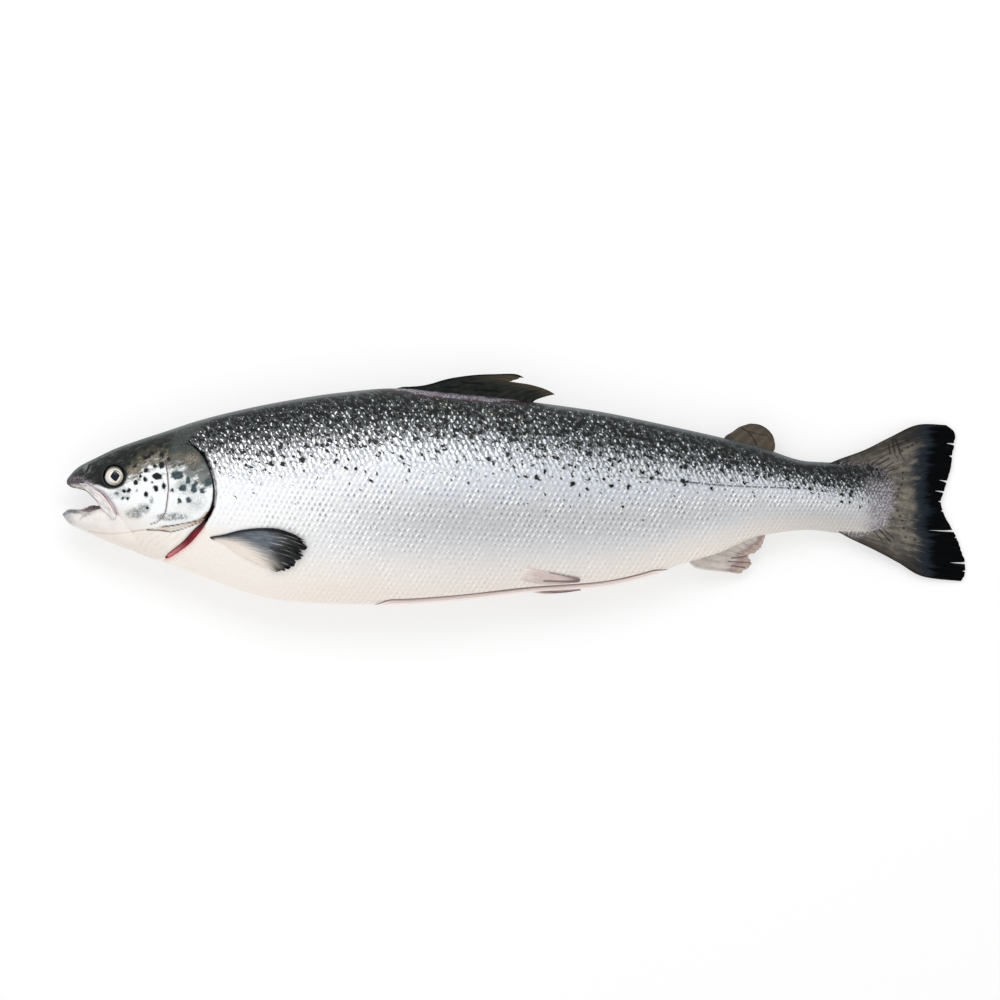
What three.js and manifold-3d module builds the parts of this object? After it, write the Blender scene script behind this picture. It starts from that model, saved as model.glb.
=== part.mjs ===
// A whole raw salmon, gutted through a slit along the belly, lying on its right side with its left side up.
// Millimetres. +X runs from the jaws to the tail, +Y from the belly to the back, and +Z up from the table.
// The origin is on the table, under the middle of the fish's box.
import * as THREE from "three";
import { mergeVertices } from "three/addons/utils/BufferGeometryUtils.js";
import Module from "manifold-3d";

const wasm = await Module();
wasm.setup();

// ---- Driving dimensions ---------------------------------------------------------------------------------
// Everything below is written for a fish of DRAWN_LENGTH, and LENGTH sizes the finished one.
const DRAWN_LENGTH = 750;
const LENGTH = 750;

const LEFT = 1; // the flank that faces up
const RIGHT = -1; // the flank that lies on the table
const SQUASH = 2; // how far above and below the table the flesh gives where it rests
const EYE = { along: 43.6, rise: 17.2, radius: 8.2, depth: 5.9, bulge: 2.4, socketGap: 0.35 };
const SEAM_OVERLAP = 3; // how deep a gill cover, jaw bone or fin root is buried in the flesh under it

// ---- The lines of the body ------------------------------------------------------------------------------
// Offsets at named stations from the jaws to the tail. `back` and `belly` are where the side view's outline
// runs, above the fish's own axis. `half` is half the thickness. `mid` is how high the middle plane stands
// above the table. `widest` is where, between back (0) and belly (1), the flank is thickest.
const STATIONS = [
  { name: "snout", along: 3.7, back: 18.6, belly: 10.4, half: 8.5, mid: 28.5, widest: 0.55 },
  { name: "nostril", along: 15, back: 25.9, belly: 6.0, half: 12.5, mid: 29.5, widest: 0.6 },
  { name: "mouth corner", along: 29, back: 33.0, belly: -3.4, half: 16.6, mid: 30.6, widest: 0.6 },
  { name: "eye", along: 43.6, back: 40.0, belly: -27.0, half: 20.0, mid: 32.0, widest: 0.52 },
  { name: "cheek", along: 60, back: 46.0, belly: -45.1, half: 24.0, mid: 33.3, widest: 0.5 },
  { name: "gill cover", along: 85, back: 54.2, belly: -54.3, half: 29.0, mid: 35.2, widest: 0.47 },
  { name: "nape", along: 112, back: 63.1, belly: -64.5, half: 33.0, mid: 37.0, widest: 0.45 },
  { name: "shoulder", along: 145, back: 71.6, belly: -76.6, half: 37.0, mid: 38.4, widest: 0.45 },
  { name: "breast", along: 180, back: 78.8, belly: -85.6, half: 40.0, mid: 39.2, widest: 0.45 },
  { name: "front of belly", along: 230, back: 86.6, belly: -88.8, half: 43.2, mid: 40.0, widest: 0.45 },
  { name: "deepest", along: 275, back: 90.2, belly: -89.4, half: 44.4, mid: 40.4, widest: 0.45 },
  { name: "dorsal fin", along: 320, back: 87.0, belly: -86.8, half: 43.6, mid: 39.8, widest: 0.45 },
  { name: "pelvic fins", along: 390, back: 78.9, belly: -79.2, half: 40.0, mid: 37.2, widest: 0.46 },
  { name: "loin", along: 445, back: 71.2, belly: -75.2, half: 36.0, mid: 33.8, widest: 0.46 },
  { name: "vent", along: 508, back: 58.2, belly: -62.0, half: 30.2, mid: 28.8, widest: 0.47 },
  { name: "anal fin", along: 545, back: 50.0, belly: -46.6, half: 26.4, mid: 25.6, widest: 0.48 },
  { name: "adipose fin", along: 580, back: 41.2, belly: -32.2, half: 22.6, mid: 22.2, widest: 0.5 },
  { name: "tail stalk", along: 620, back: 29.6, belly: -27.4, half: 17.6, mid: 17.8, widest: 0.5 },
  { name: "tail root", along: 650, back: 28.3, belly: -30.6, half: 12.0, mid: 14.2, widest: 0.5 },
  { name: "spread of tail", along: 672, back: 27.2, belly: -31.6, half: 7.8, mid: 11.2, widest: 0.5 },
  { name: "end of scales", along: 691, back: 10.0, belly: -16.0, half: 4.4, mid: 8.6, widest: 0.5 },
];
const NOSE_ROUNDING = 7;
const TAIL_ROUNDING = 14;
const EDGE_FULLNESS = 0.56; // 0.5 would make every section an ellipse; more sharpens the back and belly

// The lower jaw, a separate trough under the gape that runs back into the throat.
const JAW_STATIONS = [
  { name: "tip", along: 0.2, top: -12.0, bottom: -17.0, half: 6.0 },
  { name: "chin", along: 6.5, top: -9.8, bottom: -22.8, half: 9.2 },
  { name: "tooth row", along: 15, top: -9.8, bottom: -27.0, half: 12.0 },
  { name: "gape", along: 26, top: -6.8, bottom: -32.0, half: 15.2 },
  { name: "hinge", along: 42, top: -6.0, bottom: -38.8, half: 17.4 },
  { name: "throat", along: 58, top: -14.0, bottom: -44.4, half: 15.6 },
  { name: "inside the throat", along: 76, top: -22.0, bottom: -45.0, half: 9.0 },
];

// The hollow of the mouth between the two jaws, which the gape opens on both sides.
const MOUTH_STATIONS = [
  { name: "front", along: 7.0, top: 7.0, bottom: -13.0, half: 3.6 },
  { name: "palate", along: 18, top: 8.0, bottom: -14.0, half: 8.4 },
  { name: "gape", along: 30, top: 2.0, bottom: -14.0, half: 12.0 },
  { name: "gullet", along: 56, top: -8.0, bottom: -20.0, half: 11.0 },
];

// Runs smoothly through the values at the stations and never overshoots them.
function smoothLine(xs, ys) {
  const steps = xs.slice(1).map((x, i) => x - xs[i]);
  const rises = steps.map((h, i) => (ys[i + 1] - ys[i]) / h);
  const slopes = ys.map((_, i) => {
    if (i === 0) return rises[0];
    if (i === ys.length - 1) return rises[i - 1];
    if (rises[i - 1] * rises[i] <= 0) return 0;
    const before = 2 * steps[i] + steps[i - 1];
    const after = steps[i] + 2 * steps[i - 1];
    return (before + after) / (before / rises[i - 1] + after / rises[i]);
  });
  return (x) => {
    const inside = Math.min(Math.max(x, xs[0]), xs[xs.length - 1]);
    let i = 0;
    while (i < steps.length - 1 && inside > xs[i + 1]) i++;
    const t = (inside - xs[i]) / steps[i];
    const [a, b] = [t * t * (3 - 2 * t), t * t * (t - 1)];
    return ys[i] * (1 - a) + ys[i + 1] * a + steps[i] * (slopes[i] * t * (1 - t) ** 2 + slopes[i + 1] * b);
  };
}

function linesOf(stations) {
  const xs = stations.map((s) => s.along);
  const keys = Object.keys(stations[0]).filter((key) => key !== "name" && key !== "along");
  return Object.fromEntries(keys.map((key) => [key, smoothLine(xs, stations.map((s) => s[key]))]));
}

const body = linesOf(STATIONS);
const jaw = linesOf(JAW_STATIONS);
const mouth = linesOf(MOUTH_STATIONS);

// How thick a section is at a share of the way from back to belly: 0 at either edge and 1 at its widest.
function fullness(share, widest) {
  const skew = Math.log(0.5) / Math.log(widest);
  return Math.max(Math.sin(Math.PI * Math.min(Math.max(share, 0), 1) ** skew), 0) ** EDGE_FULLNESS;
}

// The flesh gives softly where it meets the table, and leaves a flat patch at height 0.
function rest(height) {
  if (height > SQUASH) return height;
  return height < -SQUASH ? 0 : (height + SQUASH) ** 2 / (4 * SQUASH);
}

// Height of a flank's skin above the table at a point of the side view.
function flank(along, rise, side) {
  const share = (body.back(along) - rise) / (body.back(along) - body.belly(along));
  return body.mid(along) + side * body.half(along) * fullness(share, body.widest(along));
}

// ---- Turning three.js shapes into solids ----------------------------------------------------------------
function toSolid(geometry) {
  const bare = new THREE.BufferGeometry();
  bare.setAttribute("position", geometry.getAttribute("position"));
  bare.setIndex(geometry.index);
  const merged = mergeVertices(bare, 1e-4);
  const triVerts = new Uint32Array(merged.index.array);
  const vertProperties = merged.attributes.position.array;
  return new wasm.Manifold(new wasm.Mesh({ numProp: 3, vertProperties, triVerts }));
}

function toGeometry(solid) {
  const { vertProperties, triVerts } = solid.getMesh();
  const geometry = new THREE.BufferGeometry();
  geometry.setAttribute("position", new THREE.BufferAttribute(vertProperties, 3));
  geometry.setIndex(new THREE.BufferAttribute(triVerts, 1));
  geometry.computeVertexNormals();
  return geometry;
}

// A closed skin of rings: a sphere whose poles are the two ends. place(turn, share) gives a point. The turn
// runs once round each ring, and the share from one end to the other, with the rings closer at the ends.
const FRONT_CROWDING = 1.6;
const REAR_CROWDING = 1.35;
function ringSkin(around, rings, place) {
  const sphere = new THREE.SphereGeometry(1, around, rings);
  const { position, uv } = sphere.attributes;
  for (let i = 0; i < position.count; i++) {
    const turn = (uv.getX(i) % 1) * 2 * Math.PI;
    const front = uv.getY(i) ** FRONT_CROWDING;
    const rear = (1 - uv.getY(i)) ** REAR_CROWDING;
    position.setXYZ(i, ...place(turn, front / (front + rear)));
  }
  return toSolid(sphere);
}

// A closed slab: a box whose three directions a, b and c each run from 0 to 1.
function slab(columns, rows, place) {
  const box = new THREE.BoxGeometry(1, 1, 1, columns, rows, 1);
  const position = box.attributes.position;
  for (let i = 0; i < position.count; i++) {
    const at = [position.getX(i) + 0.5, position.getY(i) + 0.5, position.getZ(i) + 0.5];
    position.setXYZ(i, ...place(...at));
  }
  return toSolid(box);
}

// The share of full size at a distance from a rounded end.
function roundedEnd(distance, rounding) {
  const t = Math.min(distance / rounding, 1);
  return Math.sqrt(Math.max(t * (2 - t), 0));
}

// A curve through a few points of the side view, as a function of a share from 0 to 1.
function outline(points) {
  const curve = new THREE.SplineCurve(points.map(([x, y]) => new THREE.Vector2(x, y)));
  return (share) => curve.getPoint(Math.min(Math.max(share, 0), 1)).toArray();
}

// Fills the patch between four outlines: base and margin run one way, leading and trailing the other.
function patch({ base, margin, leading, trailing }) {
  return (a, b) =>
    [0, 1].map((k) => {
      const across = (1 - b) * base(a)[k] + b * margin(a)[k];
      const along = (1 - a) * leading(b)[k] + a * trailing(b)[k];
      const corners =
        (1 - a) * (1 - b) * base(0)[k] + a * (1 - b) * base(1)[k] +
        (1 - a) * b * margin(0)[k] + a * b * margin(1)[k];
      return across + along - corners;
    });
}

// ---- Head and trunk -------------------------------------------------------------------------------------
function bodySolid() {
  const start = STATIONS[0].along;
  const end = STATIONS[STATIONS.length - 1].along;
  return ringSkin(32, 50, (turn, share) => {
    const along = start + (end - start) * share;
    const size = roundedEnd(along - start, NOSE_ROUNDING) * roundedEnd(end - along, TAIL_ROUNDING);
    const down = (1 - Math.cos(turn)) / 2;
    const centre = (body.back(along) + body.belly(along)) / 2;
    const rise = centre + (0.5 - down) * (body.back(along) - body.belly(along)) * size;
    const side = turn <= Math.PI ? LEFT : RIGHT;
    const thick = body.half(along) * size * fullness(down, body.widest(along));
    return [along, rise, rest(body.mid(along) + side * thick)];
  });
}

// A trough or hollow with elliptical sections, on the middle plane.
function troughSolid(stations, lines, around, rings, rounding) {
  const start = stations[0].along;
  const end = stations[stations.length - 1].along;
  return ringSkin(around, rings, (turn, share) => {
    const along = start + (end - start) * share;
    const size = roundedEnd(along - start, rounding) * roundedEnd(end - along, rounding);
    const centre = (lines.top(along) + lines.bottom(along)) / 2;
    const rise = centre + (Math.cos(turn) * size * (lines.top(along) - lines.bottom(along))) / 2;
    return [along, rise, body.mid(along) + Math.sin(turn) * size * lines.half(along)];
  });
}

const TONGUE = { along: 33, rise: -13.5, length: 17, depth: 3.6, width: 6.5 };
function tongueSolid() {
  const { along, rise, length, depth, width } = TONGUE;
  const shape = new THREE.SphereGeometry(1, 14, 8).scale(length, depth, width);
  return toSolid(shape.translate(along, rise, body.mid(along)));
}

// ---- Plates on the head ---------------------------------------------------------------------------------
// A plate lies on one flank: its top stands proud by lift(a, b) and its underside is buried in the flesh.
function plate({ side, columns, rows, edges, lift }) {
  const at = patch(edges);
  return slab(columns, rows, (a, b, c) => {
    const [along, rise] = at(a, b);
    const outwards = side === LEFT ? c : 1 - c;
    const stand = outwards > 0.5 ? lift(a, b) : -SEAM_OVERLAP;
    return [along, rise, rest(flank(along, rise, side) + side * stand)];
  });
}

// The gill cover: the cheek runs back into a rounded plate whose rear edge stands clear of the shoulder.
const GILL_COVER = {
  base: outline([[66, 34], [62, 10], [64, -12], [70, -25]]),
  margin: outline([[107, 42], [118.5, 29], [124.8, 12], [124.8, -3], [118, -16.5]]),
  leading: outline([[66, 34], [87, 40.5], [107, 42]]),
  trailing: outline([[70, -25], [94, -23], [118, -16.5]]),
};
// It rises from the cheek over the first `rise` of its length, and from the temple over its top `top`.
const COVER_LIFT = { full: 2.6, rise: 0.62, top: 0.25 };
function gillCover(side) {
  const lift = (a, b) =>
    COVER_LIFT.full * Math.min(b / COVER_LIFT.rise, 1) * Math.min(a / COVER_LIFT.top, 1);
  return plate({ side, columns: 8, rows: 6, edges: GILL_COVER, lift });
}

// The membrane under the gill cover, whose rear edge bounds the lower half of the gill opening.
const GILL_MEMBRANE = {
  base: outline([[62, -27], [58, -34], [60, -42]]),
  margin: outline([[116, -17], [108, -30.5], [98, -38], [86, -46.5]]),
  leading: outline([[62, -27], [90, -23], [116, -17]]),
  trailing: outline([[60, -42], [73, -46], [86, -46.5]]),
};
const MEMBRANE_LIFT = { full: 1.2, rise: 0.7 };
function gillMembrane(side) {
  const lift = (a, b) => MEMBRANE_LIFT.full * Math.min(b / MEMBRANE_LIFT.rise, 1);
  return plate({ side, columns: 5, rows: 5, edges: GILL_MEMBRANE, lift });
}

// The upper jaw bone, a blade that swings down across the corner of the mouth.
const JAW_BONE = {
  base: outline([[20.6, 10.6], [13.9, 11.5]]),
  margin: outline([[43.4, -15.6], [40.2, -18.2]]),
  leading: outline([[20.6, 10.6], [26.1, 7.0], [32.5, 3.6], [37.3, -1.5], [40.6, -7.2], [43.4, -15.6]]),
  trailing: outline([[13.9, 11.5], [17.4, 6.4], [23.7, 1.5], [29.3, -4.5], [34, -12], [40.2, -18.2]]),
};
const JAW_BONE_THICKNESS = 3.4;
const JAW_BONE_STAND = 1.3;
const JAW_BONE_CROWN = 0.8;
// Half width of the mouth at the jaw bone, which stays on one smooth bow where the flesh under it ends.
const jawBow = smoothLine([13.9, 24, 34, 43.4], [11.2, 12.8, 15.0, 17.6]);
function jawBone(side) {
  const at = patch(JAW_BONE);
  return slab(3, 9, (a, b, c) => {
    const [along, rise] = at(a, b);
    const crown = JAW_BONE_CROWN * Math.sin(Math.PI * a);
    const outer = jawBow(along) + JAW_BONE_STAND + crown;
    const inner = jawBow(along) + JAW_BONE_STAND - JAW_BONE_THICKNESS;
    const outwards = side === LEFT ? c : 1 - c;
    return [along, rise, body.mid(along) + side * (outwards > 0.5 ? outer : inner)];
  });
}

// The gill opening: a groove round the rear of the gill cover, widest low down, where the gills show in it.
const GILL_OPENING = outline([
  [106, 46], [119, 31.5], [126.3, 13], [126.6, -4], [120.5, -18], [111, -32], [99.5, -41], [84, -49.5],
]);
const OPENING = { from: 0, to: 1, top: 4, bottom: -5, fill: 1, columns: 14 };
const openingWidth = smoothLine([0, 0.15, 0.55, 0.75, 0.92, 1], [0.8, 1.8, 2.2, 5.0, 4.4, 1.5]);

// A strip in one flank along the gill opening, from one depth to another, over part of the opening's width.
const TANGENT_STEP = 0.01;
function openingStrip(side, { from, to, top, bottom, fill, columns }) {
  return slab(columns, 1, (a, b, c) => {
    const share = from + (to - from) * a;
    const [along, rise] = GILL_OPENING(share);
    const [nextAlong, nextRise] = GILL_OPENING(share + TANGENT_STEP);
    const [backAlong, backRise] = GILL_OPENING(share - TANGENT_STEP);
    const slope = Math.hypot(nextAlong - backAlong, nextRise - backRise);
    const across = (b - 0.5) * openingWidth(share) * fill;
    const x = along - (across * (nextRise - backRise)) / slope;
    const y = rise + (across * (nextAlong - backAlong)) / slope;
    const outwards = side === LEFT ? c : 1 - c;
    return [x, y, flank(x, y, side) + side * (outwards > 0.5 ? top : bottom)];
  });
}

const gillOpening = (side) => openingStrip(side, OPENING);
const GILL = { from: 0.6, to: 0.94, top: -0.8, bottom: -4.6, fill: 0.72, columns: 9 };
const gill = (side) => openingStrip(side, GILL);

// ---- Fins -----------------------------------------------------------------------------------------------
// A fin is a thin slab, thickest at its root, with a ridge for each ray and a thinner web between two rays.
// middle(along, rise, b) is the height above the table that it follows.
const WEB = 0.62;
function fin({ edges, rays, rows, root, tip, middle }) {
  const at = patch(edges);
  const columns = rays * 2;
  return slab(columns, rows, (a, b, c) => {
    const [along, rise] = at(a, b);
    const ridge = Math.round(a * columns) % 2 ? 1 : WEB;
    const thick = (root + (tip - root) * Math.sqrt(b)) * ridge;
    return [along, rise, Math.max(middle(along, rise, b) + (c - 0.5) * thick, 0)];
  });
}

const DORSAL_FIN = {
  base: outline([[297, 85], [340, 80], [389, 74]]),
  margin: outline([[383.1, 99.2], [371.5, 95.4], [384, 94.2], [397.2, 91.4], [409.4, 85.5]]),
  leading: outline([[297, 85], [304.5, 92.9], [330.5, 99.6], [356.4, 101.9], [375, 102.2], [383.1, 99.2]]),
  trailing: outline([[389, 74], [393.4, 81], [400.9, 83.6], [409.4, 85.5]]),
};
// It sags a little towards the table, more and more above its root.
const DORSAL_SAG = { above: 78, perSquare: 0.012 };
const dorsalFin = () =>
  fin({
    edges: DORSAL_FIN, rays: 8, rows: 4, root: 5.5, tip: 1.5,
    middle: (along, rise) =>
      body.mid(along) - DORSAL_SAG.perSquare * Math.max(rise - DORSAL_SAG.above, 0) ** 2,
  });

const ADIPOSE_FIN = {
  base: outline([[548, 45], [568, 40], [588, 35]]),
  margin: outline([[571.2, 61.1], [578.8, 60.2], [585.7, 56.4], [590.4, 50.5], [592.1, 43.6]]),
  leading: outline([[548, 45], [550.8, 50.5], [556.6, 54.1], [562.4, 58.2], [571.2, 61.1]]),
  trailing: outline([[588, 35], [591.5, 39], [592.1, 43.6]]),
};
const ADIPOSE_LEAN = { above: 42, slope: 0.1 };
const adiposeFin = () =>
  fin({
    edges: ADIPOSE_FIN, rays: 4, rows: 4, root: 5.5, tip: 2,
    middle: (along, rise) => body.mid(along) - ADIPOSE_LEAN.slope * Math.max(rise - ADIPOSE_LEAN.above, 0),
  });

const TAIL_FIN = {
  base: outline([[630, 25], [664, 24], [686, -2], [664, -26], [638, -25]]),
  margin: outline([
    [737.5, 58.8], [742, 52], [739.5, 34], [734.5, 10], [730, -6],
    [736, -24], [745, -44], [750, -60], [748, -69],
  ]),
  leading: outline([[630, 25], [645.5, 31.5], [666.5, 39.2], [687.2, 49.5], [710.5, 59.9], [737.5, 58.8]]),
  trailing: outline([[638, -25], [653.5, -35.1], [670, -44.1], [692, -55.1], [713, -64.8], [748, -69]]),
};
const tailHeight = smoothLine([625, 655, 690, 720, 750], [17.8, 14.2, 8.8, 4.2, 1.4]);
const tailFin = () =>
  fin({ edges: TAIL_FIN, rays: 13, rows: 7, root: 7, tip: 1.8, middle: (along) => tailHeight(along) });

const ANAL_FIN = {
  base: outline([[580, -27], [564, -27], [550, -34], [534, -42], [518.8, -52]]),
  margin: outline([[583.9, -31.8], [581.8, -39.2], [577, -46], [570, -48.6], [572.7, -56], [563.2, -64.1]]),
  leading: outline([[580, -27], [583.9, -31.8]]),
  trailing: outline([[518.8, -52], [526.2, -58.8], [542.6, -61.4], [554.2, -62.5], [563.2, -64.1]]),
};
// It leans towards the table, from nothing at its front ray to `slope` at `full`.
const ANAL_LEAN = { below: -30, slope: 0.55, none: 510, full: 570 };
const analFin = () =>
  fin({
    edges: ANAL_FIN, rays: 6, rows: 4, root: 5, tip: 1.4,
    middle: (along, rise) => {
      const lean = (ANAL_LEAN.slope * (along - ANAL_LEAN.none)) / (ANAL_LEAN.full - ANAL_LEAN.none);
      return body.mid(along) - lean * Math.max(ANAL_LEAN.below - rise, 0);
    },
  });

// A paired fin lies back along its flank. `away` is how far its middle stands off the skin at root and tip.
function pairedFin(side, { edges, rays, rows, root, tip, away }) {
  const middle = (along, rise, b) =>
    rest(flank(along, rise, side)) + side * (away[0] + (away[1] - away[0]) * b ** 1.5);
  return fin({ edges, rays, rows, root, tip, middle });
}

const PECTORAL_FIN = {
  base: outline([[121, -33.4], [122, -38.8]]),
  margin: outline([
    [199, -33.4], [204.1, -40.3], [202.2, -46.7], [197.1, -53],
    [190.7, -58.8], [181.2, -62.6], [175.5, -61.9],
  ]),
  leading: outline([
    [121, -33.4], [133.6, -31.2], [149.4, -27.3], [165.3, -25.7], [181.2, -26.7], [199, -33.4],
  ]),
  trailing: outline([[122, -38.8], [139.9, -43.8], [152.6, -50.5], [168.5, -57.4], [175.5, -61.9]]),
};
const pectoralFin = (side) =>
  pairedFin(side, {
    edges: PECTORAL_FIN, rays: 8, rows: 5, root: 4.5, tip: 1.3,
    away: side === LEFT ? [0.6, 3.2] : [0.4, 1.4],
  });

const PELVIC_FIN = {
  base: outline([[384, -58.5], [377, -69]]),
  margin: outline([[429, -67.8], [430.4, -69.2], [428.5, -70.8]]),
  leading: outline([[384, -58.5], [405, -62.8], [429, -67.8]]),
  trailing: outline([[377, -69], [402, -72.6], [428.5, -70.8]]),
};
const leftPelvicFin = () =>
  pairedFin(LEFT, { edges: PELVIC_FIN, rays: 5, rows: 4, root: 4.5, tip: 1.6, away: [0.4, 1.6] });

// The right one is pressed flat against the flesh by the fish's weight, and shows along the belly's edge.
const TRAPPED_PELVIC_FIN = {
  base: outline([[384, -62], [386, -78.2]]),
  margin: outline([[428, -73.5], [431, -77.4]]),
  leading: outline([[384, -62], [405, -67], [428, -73.5]]),
  trailing: outline([[386, -78.2], [400, -80.4], [416, -79.6], [431, -77.4]]),
};
const TRAPPED_LIFT = 1.4;
const trappedPelvicFin = () =>
  plate({ side: RIGHT, columns: 4, rows: 6, edges: TRAPPED_PELVIC_FIN, lift: () => TRAPPED_LIFT });

// ---- The cut along the belly ----------------------------------------------------------------------------
// The left belly flap ends a little short of the right one, so the cut face of the right one shows as a
// ledge, with the slit itself along its inner edge. Both fade out towards the ends of the cut.
const CUT = { from: 236, to: 519, columns: 16 };
const LEDGE = { width: 5, aboveMiddle: 2.6, reach: 22, margin: 4 };
const SLIT = { depth: 9, endDepth: 3, width: 1.5 };
const FADE_STEEPNESS = 3.2;

function cutLine(a) {
  const along = CUT.from + (CUT.to - CUT.from) * a;
  const fade = Math.min(Math.sin(Math.PI * a) * FADE_STEEPNESS, 1);
  return { along, fade, rise: body.belly(along) + LEDGE.width * fade };
}

const cutLedge = () =>
  slab(CUT.columns, 1, (a, b, c) => {
    const { along, rise } = cutLine(a);
    const outer = rise - LEDGE.width - LEDGE.margin;
    return [along, outer + (rise - outer) * b, body.mid(along) + LEDGE.aboveMiddle + LEDGE.reach * c];
  });

const cutSlit = () =>
  slab(CUT.columns, 1, (a, b, c) => {
    const { along, fade, rise } = cutLine(a);
    const inner = rise + SLIT.endDepth + (SLIT.depth - SLIT.endDepth) * fade;
    const outer = rise - SLIT.width;
    return [along, outer + (inner - outer) * b, body.mid(along) + LEDGE.aboveMiddle + SLIT.width * c];
  });

// ---- Eyes -----------------------------------------------------------------------------------------------
function eyeball(side, grow) {
  const { along, rise, radius, depth, bulge } = EYE;
  const height = flank(along, rise, side) + side * (bulge - depth);
  const shape = new THREE.SphereGeometry(1, 18, 10).rotateX(Math.PI / 2);
  shape.scale(radius + grow, radius + grow, depth + grow);
  return toSolid(shape.translate(along, rise, height));
}

// ---- The fish as one solid ------------------------------------------------------------------------------
function fishSolid() {
  const sides = [LEFT, RIGHT];
  const grown = [
    troughSolid(JAW_STATIONS, jaw, 18, 12, NOSE_ROUNDING),
    ...sides.map(gillMembrane),
  ];
  const carved = [
    troughSolid(MOUTH_STATIONS, mouth, 14, 8, NOSE_ROUNDING),
    ...sides.map((side) => eyeball(side, EYE.socketGap)),
    cutLedge(),
    cutSlit(),
  ];
  const attached = [
    ...sides.map(jawBone), tongueSolid(), ...sides.map(gillCover),
    dorsalFin(), adiposeFin(), tailFin(), analFin(),
    ...sides.map(pectoralFin), leftPelvicFin(), trappedPelvicFin(),
  ];
  let fish = bodySolid();
  for (const piece of grown) fish = fish.add(piece);
  for (const hollow of carved) fish = fish.subtract(hollow);
  for (const piece of attached) fish = fish.add(piece);
  for (const side of sides) fish = fish.subtract(gillOpening(side));
  return fish;
}

// ---- Materials and the scene graph ----------------------------------------------------------------------
const skinFinish = new THREE.MeshStandardMaterial({ color: 0xb9bec2, roughness: 0.32, metalness: 0.25 });
const eyeFinish = new THREE.MeshStandardMaterial({ color: 0xd8d3b8, roughness: 0.12, metalness: 0.1 });
const gillFinish = new THREE.MeshStandardMaterial({ color: 0x8c1f2b, roughness: 0.4, metalness: 0 });

function named(name, solid, material) {
  const mesh = new THREE.Mesh(toGeometry(solid), material);
  mesh.name = name;
  return mesh;
}

const fish = new THREE.Group();
fish.add(named("fish", fishSolid(), skinFinish));
fish.add(named("eye_left", eyeball(LEFT, 0), eyeFinish));
fish.add(named("eye_right", eyeball(RIGHT, 0), eyeFinish));
fish.add(named("gill_left", gill(LEFT), gillFinish));
fish.add(named("gill_right", gill(RIGHT), gillFinish));

const size = LENGTH / DRAWN_LENGTH;
const box = new THREE.Box3().setFromObject(fish);
const middle = box.getCenter(new THREE.Vector3());
fish.scale.setScalar(size);
fish.position.set(-middle.x * size, -middle.y * size, 0);

export default fish;
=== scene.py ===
"""A whole raw salmon, gutted through a slit along the belly, lying on its right side on a plain pale table."""

import math

import bmesh
import bpy
import numpy as np
from bpy.props import FloatProperty, FloatVectorProperty, PointerProperty
from mathutils import Matrix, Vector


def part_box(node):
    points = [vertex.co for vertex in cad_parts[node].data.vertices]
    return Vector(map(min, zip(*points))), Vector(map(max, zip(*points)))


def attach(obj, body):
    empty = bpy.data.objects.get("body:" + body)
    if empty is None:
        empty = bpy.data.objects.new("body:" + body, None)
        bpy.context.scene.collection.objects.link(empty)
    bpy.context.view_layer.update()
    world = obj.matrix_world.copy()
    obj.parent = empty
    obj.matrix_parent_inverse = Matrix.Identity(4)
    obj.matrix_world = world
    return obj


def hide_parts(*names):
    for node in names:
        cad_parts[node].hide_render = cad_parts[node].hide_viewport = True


bl_info = {
    "name": "Whole raw salmon",
    "version": (1, 0, 0),
    "blender": (4, 5, 0),
    "location": "View3D > Sidebar > Salmon",
    "description": "Builds a whole raw salmon and the table it lies on",
    "category": "Object",
}

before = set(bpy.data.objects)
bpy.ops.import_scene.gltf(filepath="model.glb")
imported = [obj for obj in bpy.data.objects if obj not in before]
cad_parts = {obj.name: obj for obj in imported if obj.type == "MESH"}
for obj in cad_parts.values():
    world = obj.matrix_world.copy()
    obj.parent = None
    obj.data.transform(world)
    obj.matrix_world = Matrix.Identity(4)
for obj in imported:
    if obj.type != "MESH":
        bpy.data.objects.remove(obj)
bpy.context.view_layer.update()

# ---- Sizes, in millimetres ----------------------------------------------------------------------------
# The side view runs along x from the jaws to the tail and up y from the fish's own axis to its back, and
# heights are above the table. The fish lies with its left flank up.
MM = 0.001
LEFT, RIGHT = 1, -1
SIDES = {"left": LEFT, "right": RIGHT}
# How far above the table the flesh begins to give.
SQUASH = 2
# A distance at which no mark shows.
FAR = 9.0
EYE = {"along": 43.6, "rise": 17.2, "radius": 8.2, "depth": 5.9, "bulge": 2.4}
# The power that rounds a section's edges, and how long the rounded ends of the skin and the jaw are.
EDGE_FULLNESS = 0.56
NOSE_ROUNDING = 7
TAIL_ROUNDING = 14
# Where the head ends, and how far apart the skin's rings are before and behind that.
HEAD_END, HEAD_PITCH, TRUNK_PITCH = 132, 0.85, 2.1

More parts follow.
